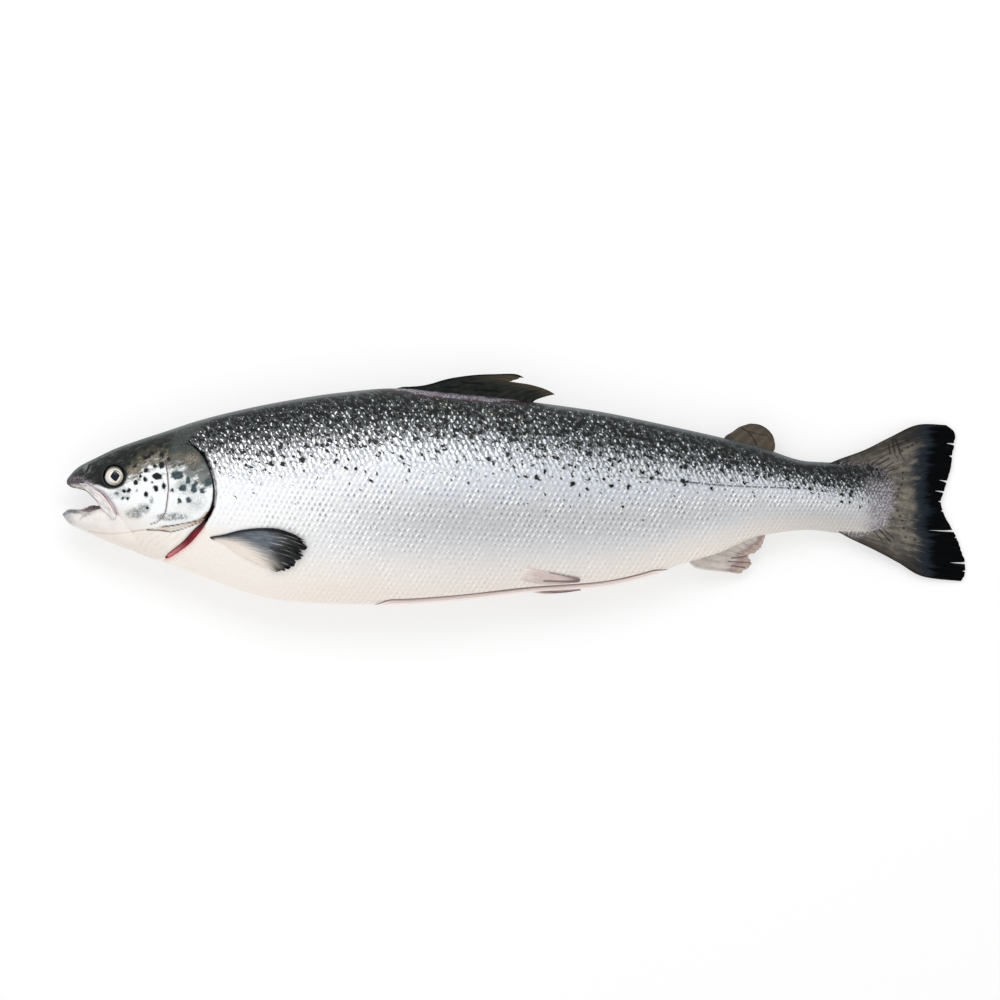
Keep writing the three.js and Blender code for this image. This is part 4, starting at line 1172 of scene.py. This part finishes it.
def eye_finish():
    """A dark, slightly squared pupil with a painted blue reflection in its middle, in a pale gold ring, and a silver
    iris that darkens at its rim.
    """
    eye = bpy.context.scene.salmon_eye
    finish, w, shader = new_finish("eye", Coat_Weight=0.15, Coat_Roughness=0.05, Roughness=0.3, Specular_IOR_Level=0.2)
    across, upright = w["across"], w["upright"]
    spot = w.join(across, upright + 0.6)
    leaning = w.turn(spot - (0.6, 0.8, 0), -0.12)
    parts = w.parts(abs(leaning))
    squared = parts[0] ** 1.25 + (parts[1] * 0.88) ** 1.25
    squared = squared ** (1 / 1.25)
    reach = w.vector("LENGTH", spot)
    angle = w.math("ARCTAN2", upright, across)
    spokes = w.join(w.math("SINE", angle), w.math("COSINE", angle), reach * 0.12)
    fibre = w.noise(spokes, 5.0, 3.0)
    iris = w.ramp(reach / EYE["radius"], [
        (0.0, (0.8, 0.76, 0.72)), (0.5, (0.98, 0.96, 0.93)), (0.62, (0.96, 0.93, 0.86)), (0.67, (0.62, 0.57, 0.48)),
        (0.71, (0.92, 0.9, 0.83)), (0.84, (0.88, 0.88, 0.87)), (0.91, (0.45, 0.45, 0.43)), (0.96, (0.05, 0.05, 0.06)),
    ])
    lash = abs(reach - 5.4).spread(0.7, 0.2) * across.spread(-1.0, 2.0)
    iris = w.layers(iris, [
        (fibre.spread(0.45, 0.7, 0.3), (0.56, 0.52, 0.44)),
        (upright.spread(3.0, 8.0, 0.45), (0.5, 0.5, 0.42)),
        (across.spread(-2.0, -6.0) * upright.spread(1.0, -4.0, 0.6), (0.85, 0.88, 0.93)),
        (lash * upright.spread(1.5, 4.0, 0.85), (0.24, 0.19, 0.13)),
    ])
    tone = w.blend(squared.spread(eye.pupil_width / 2 + 0.3, eye.pupil_width / 2 - 0.2), iris, (0.01, 0.01, 0.015))
    # painted reflection: a dark blue middle inside the pupil's black rim
    tone = w.blend(squared.spread(eye.pupil_width / 2 - 0.9, eye.pupil_width / 2 - 1.9), tone, eye.pupil_reflection)
    shader["Base Color"] = tone
    lift_surface(w, shader, fibre, 0.1, 0.2)
    return finish


# Where along the gill opening the gills begin and how far on they show, and how many filaments they have.
GILLS = {"from": 0.58, "length": 0.405, "filaments": 30}


def gill_comb(name, side, finish, node):
    """The gills' red fringe in the lower half of the gill opening."""
    mesh, a, b, c = slab_mesh(name, 150, 10)
    share = GILLS["from"] + GILLS["length"] * a
    x0, y0 = GILL_OPENING(share).T
    (x1, y1), (x2, y2) = GILL_OPENING(share - 0.01).T, GILL_OPENING(share + 0.01).T
    slope = np.hypot(x2 - x1, y2 - y1)
    across = (b - 0.5) * opening_width(share) * 0.98
    x, y = x0 - across * (y2 - y1) / slope, y0 + across * (x2 - x1) / slope
    outwards = c if side == LEFT else 1 - c
    comb = 0.45 * np.cos(a * 2 * np.pi * GILLS["filaments"] + 2.5 * b) + 0.5 * np.sin(np.pi * b)
    stand = np.where(outwards > 0.5, -1.3 + comb, -4.8)
    write_points(mesh, x, y, rest(flank(x, y, side) + side * stand))
    write_map(mesh, "fringe", a, b)
    write_values(mesh, comb=comb)
    return finish_piece(name, mesh, finish, replaces=[node])


def gill_finish():
    finish, w, shader = new_finish("gill fringe", Coat_Roughness=0.08, Coat_Weight=0.2)
    mottle = w.group("Mottled flesh", place=w.place(), size=2.5)
    parts = w.parts(w.map("fringe"))
    tone = w.blend(w["comb"].spread(-0.3, 0.8), (0.24, 0.03, 0.07), (0.58, 0.12, 0.2))
    tone = w.layers(tone, [
        (parts[0].spread(0.62, 1.0, 0.85), (0.9, 0.56, 0.56)),
        (parts[0].spread(0.3, 0.08, 0.9), (0.13, 0.03, 0.05)),
        (mottle["Patches"].spread(0.5, 0.7, 0.55), (0.3, 0.03, 0.06)),
        (parts[1].spread(0.35, 0.0, 0.6), (0.3, 0.06, 0.1)),
        (parts[1].spread(0.6, 1.0, 0.35), (0.8, 0.38, 0.42)),
    ])
    shader["Base Color"] = tone
    shader["Roughness"] = mottle["Grain"] * 0.2 + 0.2
    lift_surface(w, shader, mottle["Grain"], 0.5, 0.4)
    return finish


# ---- Fins -----------------------------------------------------------------------------------------------
# Thickness of the web between two rays as a share of theirs, nicks for each ray, half width of a tear as a share
# of the margin, and radius of a spot on the tail.
WEB = 0.85
NICKS = 4
TEAR = 0.0058
SPOT_RADIUS = 0.9

# Outlines of the fins.
DORSAL_FIN = {
    "base": [[266, 85], [330, 80], [389, 74]],
    "margin": [[383.4, 99.2], [370.5, 95], [380, 93.6], [391.3, 92.5], [402, 89.3], [409.6, 85.3]],
    "leading": [
        [266, 85], [280, 90.9], [290, 91.7], [298, 92.4], [306, 94], [318, 97.6], [329, 99.7], [344, 101.5],
        [360, 102.1], [376, 102.2], [383.4, 99.2],
    ],
    "trailing": [[389, 74], [391.5, 79.4], [400, 83], [409.6, 85.3]],
}
ADIPOSE_FIN = {
    "base": [[548, 45], [568, 40], [588, 35]],
    "margin": [[571.2, 61.1], [578.8, 60.2], [585.7, 56.4], [590.4, 50.5], [592.1, 43.6]],
    "leading": [[548, 45], [550.8, 50.5], [556.6, 54.1], [562.4, 58.2], [571.2, 61.1]],
    "trailing": [[588, 35], [591.5, 39], [592.1, 43.6]],
}
TAIL_FIN = {
    "base": [[630, 25], [664, 24], [686, -2], [664, -26], [638, -25]],
    "margin": [
        [735, 59.8], [741.5, 53.5], [741.5, 45], [739.8, 34.5], [738.3, 24], [735.5, 14], [732.5, 4], [730, -4],
        [733, -15], [738.5, -25], [743.6, -34.6], [747.3, -45], [750.4, -54.5], [750, -64.5], [747, -70],
    ],
    "leading": [[630, 25], [645.5, 31.5], [666.5, 39.2], [687.2, 49.5], [710.5, 60], [735, 59.8]],
    "trailing": [[638, -25], [653.5, -34], [674, -43.7], [694, -54.3], [715, -66.1], [747, -70]],
}
ANAL_FIN = {
    "base": [[580, -27], [564, -27], [550, -34], [534, -42], [518.8, -52]],
    "margin": [[583.9, -31.8], [581.8, -39.2], [577, -46], [570, -48.6], [572.7, -56], [563.2, -64.1]],
    "leading": [[580, -27], [583.9, -31.8]],
    "trailing": [[518.8, -52], [526.2, -58.8], [542.6, -61.4], [554.2, -62.5], [563.2, -64.1]],
}
PECTORAL_FIN = {
    "base": [[121, -33.4], [122, -38.8]],
    "margin": [
        [199, -33.4], [204.1, -40.3], [202.2, -46.7], [197.1, -53], [190.7, -58.8], [181.2, -62.6], [175.5, -61.9],
    ],
    "leading": [[121, -33.4], [133.6, -31.2], [149.4, -27.3], [165.3, -25.7], [181.2, -26.7], [199, -33.4]],
    "trailing": [[122, -38.8], [139.9, -43.8], [152.6, -50.5], [168.5, -57.4], [175.5, -61.9]],
}
PELVIC_FIN = {
    "base": [[384, -58.5], [377, -69]],
    "margin": [[429, -67.8], [430.4, -69.2], [428.5, -70.8]],
    "leading": [[384, -58.5], [405, -62.8], [429, -67.8]],
    "trailing": [[377, -69], [402, -72.6], [428.5, -70.8]],
}
TRAPPED_PELVIC_FIN = {
    "base": [[384, -62], [386, -78.2]],
    "margin": [[428, -73.5], [431, -77.4]],
    "leading": [[384, -62], [405, -67], [428, -73.5]],
    "trailing": [[386, -78.2], [400, -80.4], [416, -79.6], [431, -77.4]],
}
# Dark marks on the fins: lines, each with its half width, and round spots. Slits are the tears between the
# tail's rays: share along the margin, and depth as a share of the rays.
DORSAL_MARKS = [
    ([(318, 91), (330, 91.5)], 0.6), ([(332, 95), (350, 94)], 0.6), ([(343, 89), (362, 88)], 0.7),
    ([(288, 91.3), (298, 92), (307, 93.8), (329, 99.5), (344, 101.3), (360, 101.9), (376, 102), (383, 99)], 0.8),
]
ADIPOSE_MARKS = [
    ([(563.8, 57.4), (569.5, 54.2), (573.5, 49.5), (577, 42.7)], 0.5), ([(568, 55.5), (576, 52.5), (586, 51)], 0.3),
    ([(548, 45.4), (556.6, 54.3), (562.4, 58.4), (571.2, 61.2), (578.8, 60.3), (585.7, 56.5), (590.4, 50.6)], 0.5),
]
TAIL_MARKS = [
    ([(686.4, 43.6), (687.8, 36)], 0.7), ([(689.6, 47.5), (691.6, 37)], 0.8), ([(691.6, 36), (694.6, 31.5)], 0.5),
    ([(692.4, 48.4), (696.4, 36)], 0.8), ([(697.2, 35), (699.9, 29.5)], 0.5), ([(672.1, 27.4), (681.8, 33.5)], 0.4),
    ([(676.8, 26.4), (687.4, 32.6)], 0.5), ([(680.7, 22.6), (690.4, 28.8)], 0.5), ([(683.4, 20.4), (695, 24.5)], 0.4),
    ([(673.9, -28), (681.5, -36.5)], 0.4), ([(678.7, -27), (688.2, -37.5)], 0.5), ([(682.5, -27), (691.1, -34.6)], 0.4),
    ([(630, 25.2), (645.5, 31.7), (666.5, 39.4), (687.2, 49.7), (710.5, 60.2), (735, 60)], 0.9),
    ([(638, -25.2), (653.5, -34.2), (674, -43.9), (694, -54.5), (715, -66.3), (747, -70.2)], 0.7),
]
TAIL_SPOTS = [
    (693.9, -11.5), (695.8, -15.8), (697.9, -19.6), (699.1, -25.8), (700.6, -33.4), (708.5, -35.3), (693.9, 0.8),
    (694.8, 6.5), (697.2, 10.3), (698.2, 15.1), (698.2, 20.3), (697.7, 38.4), (702.5, 41.2), (706.1, 43.1),
    (709.9, 45.5), (702, 46.9), (696.7, 44.1),
]
TAIL_SLITS = [
    (0.152, 0.09), (0.221, 0.04), (0.367, 0.09), (0.429, 0.13), (0.499, 0.06), (0.55, 0.04), (0.667, 0.2),
    (0.706, 0.03), (0.861, 0.11), (0.907, 0.025),
]
PECTORAL_MARKS = [
    ([
        (122.5, -36.2), (122.5, -34), (125, -32.8), (133.6, -31.6), (149.4, -27.8), (165.3, -26.3), (181.2, -27.4),
        (198, -33.5),
    ], 1.7),
    ([(122.5, -36.4), (124.5, -34.4)], 2.2),
]
PELVIC_MARKS = [([(405, -62.8), (414, -64.6), (428.8, -67.4)], 0.4), ([(400, -69.6), (414, -70.1), (429, -69.8)], 0.8)]
TRAPPED_PELVIC_MARKS = [([(397, -78.4), (410, -79), (423, -78.6)], 0.8)]
ANAL_MARKS = [
    ([(556, -50.8), (568, -49.2)], 0.6), ([(553, -53.4), (571.5, -54.6)], 0.55), ([(556, -57), (567, -58.6)], 0.6),
]
# Where the scales run out over the root of the tail fin.
SCALED_TAIL = [
    (600, 29.4), (629, 27.4), (648, 29.8), (670, 29.3), (682.5, 24.5), (690, 15), (692, 0.7), (690, -8.9),
    (686.3, -19.4),
    (682.5, -25.1), (670, -29.9), (662.6, -33.7), (644.4, -30.8), (600, -27.5),
]
# Height above the table of the middle of the tail fin.
tail_height = smooth_line([625, 655, 690, 720, 750], [17.8, 14.2, 8.8, 4.2, 1.4])


def dorsal_middle(along, rise, a, b):
    return BODY["mid"](along) - 0.012 * np.maximum(rise - 78, 0) ** 2


def adipose_middle(along, rise, a, b):
    return BODY["mid"](along) - 0.1 * np.maximum(rise - 42, 0)


def tail_middle(along, rise, a, b):
    return tail_height(along)


def anal_middle(along, rise, a, b):
    return BODY["mid"](along) - 0.55 * (along - 510) / 60 * np.maximum(-30 - rise, 0)


def paired_middle(side, tip, sink, joined):
    """A paired fin lies along its flank. It rises out of the skin at its root, later along its lower edge."""
    def middle(along, rise, a, b):
        free = ease(b, 0, 0.1 + joined * ease(a, 0.2, 1))
        return rest(flank(along, rise, side)) + side * (tip * b**1.5 - sink * (1 - free))

    return middle


def fin(name, edges, middle, finish, rays, root, tip, ragged=0.0, seed=1, size=(160, 60), slits=(), marks=(), spots=()):
    """A thin slab, thickest at its root, with a low ridge for each ray, a margin torn between rays, and marks."""
    mesh, a, b, c = slab_mesh(name, *size)
    rng = np.random.default_rng(seed)
    nicks = rng.random(NICKS * rays + 1) ** 2
    shorter = ragged * np.interp(a * NICKS * rays, np.arange(NICKS * rays + 1), nicks)
    for share, depth in slits:
        shorter += depth * np.clip(1 - np.abs(a - share) / TEAR, 0, 1)
    x, y = patch(edges)(a, b * (1 - shorter * ease(b, 0.55, 1))).T
    ridge = WEB + (1 - WEB) * (0.5 - 0.5 * np.cos(a * rays * 2 * np.pi))
    rim = rounded_end(np.minimum(np.minimum(a, 1 - a) * 6, 1 - b) + 0.02, 0.16)
    thick = (root + (tip - root) * np.sqrt(b)) * ridge * (0.35 + 0.65 * rim)
    write_points(mesh, x, y, np.maximum(middle(x, y, a, b) + (c - 0.5) * thick, 0))
    write_map(mesh, "rays", a, b)
    marked = np.full(len(x), FAR)
    for line, half in marks:
        marked = np.minimum(marked, np.abs(line_distance(x, y, line)) / half)
    for along, rise in spots:
        marked = np.minimum(marked, np.hypot(x - along, y - rise) / SPOT_RADIUS)
    inked = ease(x - 0.08 * np.abs(y), 696, 728) * 1.15
    write_values(mesh, marks=marked, scaled=line_distance(x, y, SCALED_TAIL), inked=inked)
    write_map(mesh, "scales", *scale_counts(x, y))
    return finish_piece(name, mesh, finish, sharp=50)


def fin_finish(
    name, rays, tones, margin, seed, contrast=0.5, trailing=None, mark=(0.05, 0.05, 0.06), borders=0.0, glint=0.0,
    gloss=0.12, scaled=False,
):
    """tones are the colours at root, blade, before the margin and at the margin, and margin is where along the
    rays the last begins. trailing is the colour that the fin takes towards its lower root, if any, and borders
    how far the fin darkens towards its first and last ray. glint is the strength of the painted highlights along
    the rays, and scales run out over the root where scaled is set."""
    finish, w, shader = new_finish(name, Coat_Roughness=0.15, Specular_IOR_Level=gloss)
    place = w.map("rays")
    parts = w.parts(place)
    grain = w.group("Fin rays", place=place, rays=float(rays), length=5.0, seed=float(seed))
    mottle = w.group("Mottled flesh", place=w.place(), size=6.0)
    out = parts[1] + grain["Streak"] * 0.5 - 0.25 + grain["Wander"] * 0.4 - 0.2
    root, blade, before, last = tones
    tone = w.ramp(out, [
        (0.0, root), (min(0.3, margin / 2), blade), (margin - 0.14, blade), (margin, before),
        (min(margin + 0.12, 1), last),
    ])
    patchy = mottle["Patches"] * 0.6 + grain["Wander"] * 0.4
    line = grain["Ridge"].spread(0.45, 0.95) * grain["Streak"].spread(0.35, 0.65)
    pale = grain["Streak"].spread(0.5, 0.7) * out.spread(1.0, 0.6)
    tone = w.layers(tone, [
        (patchy.spread(0.42, 0.6) * (contrast * 0.6), before),
        (line * contrast, tuple(c * 0.45 for c in blade[:3])),
        (pale * (contrast * 0.6), tuple(min(c * 1.3 + 0.05, 1) for c in blade[:3])),
    ])
    if borders:
        border = abs(parts[0] * 2.0 - 1.0) + grain["Streak"] * 0.7 - 0.35
        tone = w.blend(border.spread(0.5, 1.05, borders), tone, tuple(c * 0.4 for c in blade[:3]))
    if trailing:
        lower = parts[0] * 0.9 - parts[1] * 0.8 + grain["Streak"] * 0.3 - 0.15
        tone = w.blend(lower.spread(-0.12, 0.3), tone, trailing)
    if glint:
        # painted highlight: thin bright lines along the rays
        wet = grain["Ridge"].spread(0.8, 0.97) * grain["Streak"].spread(0.5, 0.6)
        wet = wet * (out.spread(0.45, 0.6) * out.spread(1.05, 0.9))
        tone = w.blend(wet * glint, tone, (0.78, 0.78, 0.78))
    if scaled:
        scales = w.group("Overlapping scales", place=w.map("scales"), silver=0.5, relief=1.0)
        inside = w["scaled"] + grain["Streak"] * 14.0 - 7.0
        tone = w.blend(inside.spread(-3.0, 4.0), tone, tail_tone(w, scales))
    inked = w["inked"] + grain["Streak"] * 1.1 - 0.55 + grain["Wander"] * 0.9 - 0.45
    marks = w["marks"] + mottle["Grain"] * 0.8 - 0.4
    tone = w.layers(tone, [
        (inked.spread(0.2, 0.7, 0.9), before),
        (inked.spread(0.65, 1.05), last),
        (marks.spread(1.8, 0.3, 0.85), mark),
    ])
    shader["Base Color"] = tone
    shader["Roughness"] = mottle["Grain"] * 0.25 + 0.28
    shader["Coat Weight"] = mottle["Patches"] * gloss
    lift_surface(w, shader, grain["Ridge"] + grain["Streak"] * 0.8, 0.3, 0.4)
    return finish


# ---- The fish's settings --------------------------------------------------------------------------------
def tone_property(name, description, value):
    return FloatVectorProperty(
        name=name, description=description, subtype="COLOR_GAMMA", size=3, min=0, max=1, default=value
    )


class SalmonSkinSettings(bpy.types.PropertyGroup):
    """Colours and scale sizes of the skin."""

    back_colour: tone_property("Back", "Darkest colour of the back", (0.05, 0.065, 0.065))
    # the front silver is lighter than the rear partly by its own tone and partly by painted highlight
    front_silver: tone_property("Front silver", "Silver of the scales behind the head", (0.99, 0.99, 0.99))
    rear_silver: tone_property("Rear silver", "Silver of the scales towards the tail", (0.82, 0.83, 0.845))
    shade_colour: tone_property("Flank shade", "Grey along the middle of the flank", (0.7, 0.7, 0.7))
    tail_skin: tone_property("Tail skin", "Colour where the scales end on the tail", (0.43, 0.41, 0.4))
    belly_colour: tone_property("Belly", "Warm white of the throat and belly", (0.95, 0.905, 0.86))
    cheek_colour: tone_property("Cheek", "Silver white of the cheek and gill cover", (0.95, 0.96, 0.96))
    flesh_colour: tone_property("Cut flesh", "Colour of the cut edge along the belly", (0.98, 0.92, 0.9))
    scale_length: FloatProperty(
        name="Scale length", description="Distance from scale to scale along the body, in mm",
        default=4.7, min=2, max=9,
    )
    scale_row: FloatProperty(
        name="Row depth", description="Distance from one row of scales to the next, in mm", default=4.5, min=2, max=9
    )


class SalmonEyeSettings(bpy.types.PropertyGroup):
    """The eyes."""

    pupil_width: FloatProperty(name="Pupil width", description="Width of the pupil, in mm", default=7.8, min=2, max=12)
    # the dark blue of the pupil's middle is a painted reflection
    pupil_reflection: tone_property("Pupil", "Colour of the pupil", (0.02, 0.06, 0.16))


class SalmonFinSettings(bpy.types.PropertyGroup):
    """The fins."""

    dark_colour: tone_property(
        "Dark margin", "Colour of the tail's and pectoral fins' dark margins", (0.01, 0.012, 0.02)
    )
    tail_colour: tone_property("Tail blade", "Colour of the middle of the tail fin", (0.46, 0.435, 0.4))
    belly_fin_colour: tone_property("Belly fins", "Colour of the pelvic and anal fins", (0.86, 0.79, 0.77))
    ragged: FloatProperty(
        name="Raggedness", description="How deep the nicks in the fins' margins are", default=1.0, min=0, max=2
    )


class SalmonStageSettings(bpy.types.PropertyGroup):
    """Table, light and camera."""

    floor_colour: tone_property("Table", "Colour of the table", (0.68, 0.68, 0.68))
    glow: FloatProperty(
        name="Glow", description="Brightness of the light that comes up through the table", default=0.55, min=0
    )
    key_power: FloatProperty(
        name="Key light", description="Power of the large soft light", default=12, min=0, unit="POWER"
    )
    fill: FloatProperty(name="Fill", description="Brightness of the light from all round", default=0.92, min=0)
    overhead: FloatProperty(
        name="Overhead", description="Share of the fill that comes from straight above", default=0.8, min=0, max=1
    )
    camera_height: FloatProperty(
        name="Camera height", description="Height of the camera above the table", default=24.0, min=1, unit="LENGTH"
    )
    view_width: FloatProperty(
        name="View width", description="Width of the picture at the fish", default=0.83, min=0.1, unit="LENGTH"
    )


# ---- Operators ------------------------------------------------------------------------------------------
class SALMON_OT_skin(bpy.types.Operator):
    """Build the skin of the head and trunk"""

    bl_idname = "salmon.skin"
    bl_label = "Head and trunk"

    def execute(self, context):
        body_skin(skin_finish())
        return {"FINISHED"}


class SALMON_OT_mouth(bpy.types.Operator):
    """Build the lower jaw, the jaw bones, the teeth and the tongue"""

    bl_idname = "salmon.mouth"
    bl_label = "Mouth"

    def execute(self, context):
        lower_jaw(jaw_finish())
        bone = bone_finish()
        for name, side in SIDES.items():
            jaw_bone(f"jaw_bone_{name}", side, bone)
        mouth_teeth(flesh_finish("tooth", (0.93, 0.91, 0.84), (0.84, 0.79, 0.68)))
        tongue(flesh_finish("tongue flesh", (0.64, 0.56, 0.58), (0.44, 0.37, 0.4)))
        return {"FINISHED"}


class SALMON_OT_eyes(bpy.types.Operator):
    """Build both eyes"""

    bl_idname = "salmon.eyes"
    bl_label = "Eyes"

    def execute(self, context):
        finish = eye_finish()
        for name, side in SIDES.items():
            eyeball(f"eyeball_{name}", side, finish, f"eye_{name}")
        return {"FINISHED"}


class SALMON_OT_gills(bpy.types.Operator):
    """Build the red fringe that shows in each gill opening"""

    bl_idname = "salmon.gills"
    bl_label = "Gills"

    def execute(self, context):
        finish = gill_finish()
        for name, side in SIDES.items():
            gill_comb(f"gill_fringe_{name}", side, finish, f"gill_{name}")
        return {"FINISHED"}


class SALMON_OT_middle_fins(bpy.types.Operator):
    """Build the dorsal, adipose, tail and anal fins"""

    bl_idname = "salmon.middle_fins"
    bl_label = "Middle fins"

    def execute(self, context):
        fins, skin = context.scene.salmon_fins, context.scene.salmon_skin
        rag = fins.ragged
        black, brown, slate = fins.dark_colour, (0.27, 0.24, 0.19), (0.08, 0.1, 0.11)
        tones = [slate, (0.09, 0.11, 0.1), (0.2, 0.19, 0.17), brown]
        dorsal = fin_finish("dorsal fin", 12, tones, 0.8, 3, 0.6, mark=(0.02, 0.02, 0.02), gloss=0.03)
        fin("dorsal_fin", DORSAL_FIN, dorsal_middle, dorsal, 12, 5.5, 1.5, 0.04 * rag, 3, marks=DORSAL_MARKS)
        tones = [(0.13, 0.15, 0.17), (0.29, 0.26, 0.22), (0.32, 0.28, 0.24), (0.28, 0.25, 0.21)]
        adipose = fin_finish("adipose fin", 5, tones, 0.7, 4, 0.2)
        fin("adipose_fin", ADIPOSE_FIN, adipose_middle, adipose, 5, 5.5, 2, 0, 4, marks=ADIPOSE_MARKS)
        tones = [skin.tail_skin, fins.tail_colour, (0.12, 0.15, 0.18), black]
        tail = fin_finish(
            "tail fin", 17, tones, 0.74, 5, 0.8, mark=(0.12, 0.1, 0.09), borders=0.85, gloss=0.03, scaled=True
        )
        slits = [(share, depth * rag) for share, depth in TAIL_SLITS]
        fin(
            "tail_fin", TAIL_FIN, tail_middle, tail, 17, 7, 1.8, 0.012 * rag, 5, size=(300, 80), slits=slits,
            marks=TAIL_MARKS, spots=TAIL_SPOTS,
        )
        tones = [(0.86, 0.84, 0.8), (0.8, 0.77, 0.74), (0.6, 0.5, 0.5), (0.74, 0.67, 0.62)]
        anal = fin_finish("anal fin", 9, tones, 0.72, 6, 0.4, mark=(0.42, 0.32, 0.33))
        fin("anal_fin", ANAL_FIN, anal_middle, anal, 9, 5, 1.4, 0.08 * rag, 6, marks=ANAL_MARKS)
        return {"FINISHED"}


class SALMON_OT_paired_fins(bpy.types.Operator):
    """Build the pectoral and pelvic fins"""

    bl_idname = "salmon.paired_fins"
    bl_label = "Paired fins"

    def execute(self, context):
        fins = context.scene.salmon_fins
        rag = fins.ragged
        tones = [(0.42, 0.45, 0.49), (0.4, 0.43, 0.47), (0.22, 0.22, 0.22), fins.dark_colour]
        pectoral = fin_finish("pectoral fin", 13, tones, 0.74, 7, 0.7, (0.92, 0.88, 0.84), glint=0.5, gloss=0.08)
        for name, side in SIDES.items():
            middle = paired_middle(side, 3.2 if side == LEFT else 1.2, 2.2, 0.5)
            fin(
                f"pectoral_fin_{name}", PECTORAL_FIN, middle, pectoral, 13, 3.4, 1.2, 0.09 * rag, 7,
                marks=PECTORAL_MARKS,
            )
        tones = [(0.94, 0.9, 0.87), fins.belly_fin_colour, (0.74, 0.66, 0.65), (0.5, 0.42, 0.43)]
        pelvic = fin_finish("pelvic fin", 8, tones, 0.8, 8, 0.4, mark=(0.45, 0.36, 0.37))
        fin(
            "pelvic_fin_left", PELVIC_FIN, paired_middle(LEFT, 1.4, 2.4, 0.2), pelvic, 8, 4, 1.4, 0.03 * rag, 8,
            marks=PELVIC_MARKS,
        )
        fin(
            "pelvic_fin_right", TRAPPED_PELVIC_FIN, paired_middle(RIGHT, 0.6, 1, 0), pelvic, 8, 3, 1.4, 0.02 * rag, 9,
            marks=TRAPPED_PELVIC_MARKS,
        )
        return {"FINISHED"}


# The stage is in metres and degrees. The view is as wide as its setting says at the height of the fish's middle.
TABLE_HALF, FISH_MIDDLE = 6, 0.04
KEY_SIZE, KEY_PLACE, KEY_TURN = (1.6, 0.8), (-0.35, 0.95, 1.35), (-35, 0, -14)
SENSOR, CLIP_END, CAMERA_PLACE = 36, 50, (-0.0116, -0.009)


class SALMON_OT_stage(bpy.types.Operator):
    """Set up the table, the lights and the camera"""

    bl_idname = "salmon.stage"
    bl_label = "Table, light and camera"

    def execute(self, context):
        stage = context.scene.salmon_stage
        shape = bmesh.new()
        bmesh.ops.create_grid(shape, x_segments=1, y_segments=1, size=TABLE_HALF)
        table = bpy.data.objects.new("table", mesh_from("table", shape))
        finish, w, shader = new_finish("plain table", Roughness=0.7)
        shader["Base Color"] = colour(stage.floor_colour)
        shader["Emission Color"] = (1, 1, 1, 1)
        shader["Emission Strength"] = stage.glow
        table.data.materials.append(finish)
        context.scene.collection.objects.link(table)

        world = bpy.data.worlds.new("soft daylight")
        world.use_nodes = True
        w = Wiring(world.node_tree)
        height = w.parts(w.node("ShaderNodeTexCoord")["Generated"])[2]
        sky = Sockets(w, world.node_tree.nodes["Background"].inputs)
        sky["Color"] = (1, 1, 1, 1)
        sky["Strength"] = height.spread(0.45, 0.98, stage.fill * stage.overhead, stage.fill)
        context.scene.world = world

        lamp = bpy.data.lights.new("key light", "AREA")
        lamp.shape, lamp.size, lamp.size_y = "RECTANGLE", *KEY_SIZE
        lamp.energy = stage.key_power
        key = bpy.data.objects.new("key light", lamp)
        key.location = KEY_PLACE
        key.rotation_euler = [math.radians(angle) for angle in KEY_TURN]
        context.scene.collection.objects.link(key)

        lens = bpy.data.cameras.new("camera")
        lens.sensor_width = SENSOR
        lens.lens = SENSOR * (stage.camera_height - FISH_MIDDLE) / stage.view_width
        lens.clip_end = CLIP_END
        camera = bpy.data.objects.new("camera", lens)
        camera.location = (*CAMERA_PLACE, stage.camera_height)
        context.scene.collection.objects.link(camera)
        context.scene.camera = camera
        context.scene.view_settings.view_transform = "Standard"
        return {"FINISHED"}


class SALMON_PT_panel(bpy.types.Panel):
    """Lists the steps that build the salmon, with their settings"""

    bl_idname = "SALMON_PT_panel"
    bl_label = "Whole raw salmon"
    bl_space_type = "VIEW_3D"
    bl_region_type = "UI"
    bl_category = "Salmon"

    def draw(self, context):
        for operator in OPERATORS:
            self.layout.operator(operator.bl_idname)
        for name in SETTINGS:
            box = self.layout.box()
            group = getattr(context.scene, name)
            for key in group.bl_rna.properties.keys():
                if key not in ("rna_type", "name"):
                    box.prop(group, key)


SETTINGS = {
    "salmon_skin": SalmonSkinSettings,
    "salmon_eye": SalmonEyeSettings,
    "salmon_fins": SalmonFinSettings,
    "salmon_stage": SalmonStageSettings,
}
OPERATORS = [
    SALMON_OT_stage, SALMON_OT_skin, SALMON_OT_mouth, SALMON_OT_eyes, SALMON_OT_gills, SALMON_OT_middle_fins,
    SALMON_OT_paired_fins,
]


def register():
    for kind in [*SETTINGS.values(), *OPERATORS, SALMON_PT_panel]:
        bpy.utils.register_class(kind)
    for name, kind in SETTINGS.items():
        setattr(bpy.types.Scene, name, PointerProperty(type=kind))


def unregister():
    for name in SETTINGS:
        delattr(bpy.types.Scene, name)
    for kind in reversed([*SETTINGS.values(), *OPERATORS, SALMON_PT_panel]):
        bpy.utils.unregister_class(kind)


def main():
    register()
    bpy.ops.salmon.stage()
    bpy.ops.salmon.skin()
    bpy.ops.salmon.mouth()
    bpy.ops.salmon.eyes()
    bpy.ops.salmon.gills()
    bpy.ops.salmon.middle_fins()
    bpy.ops.salmon.paired_fins()


if __name__ == "__main__":
    main()
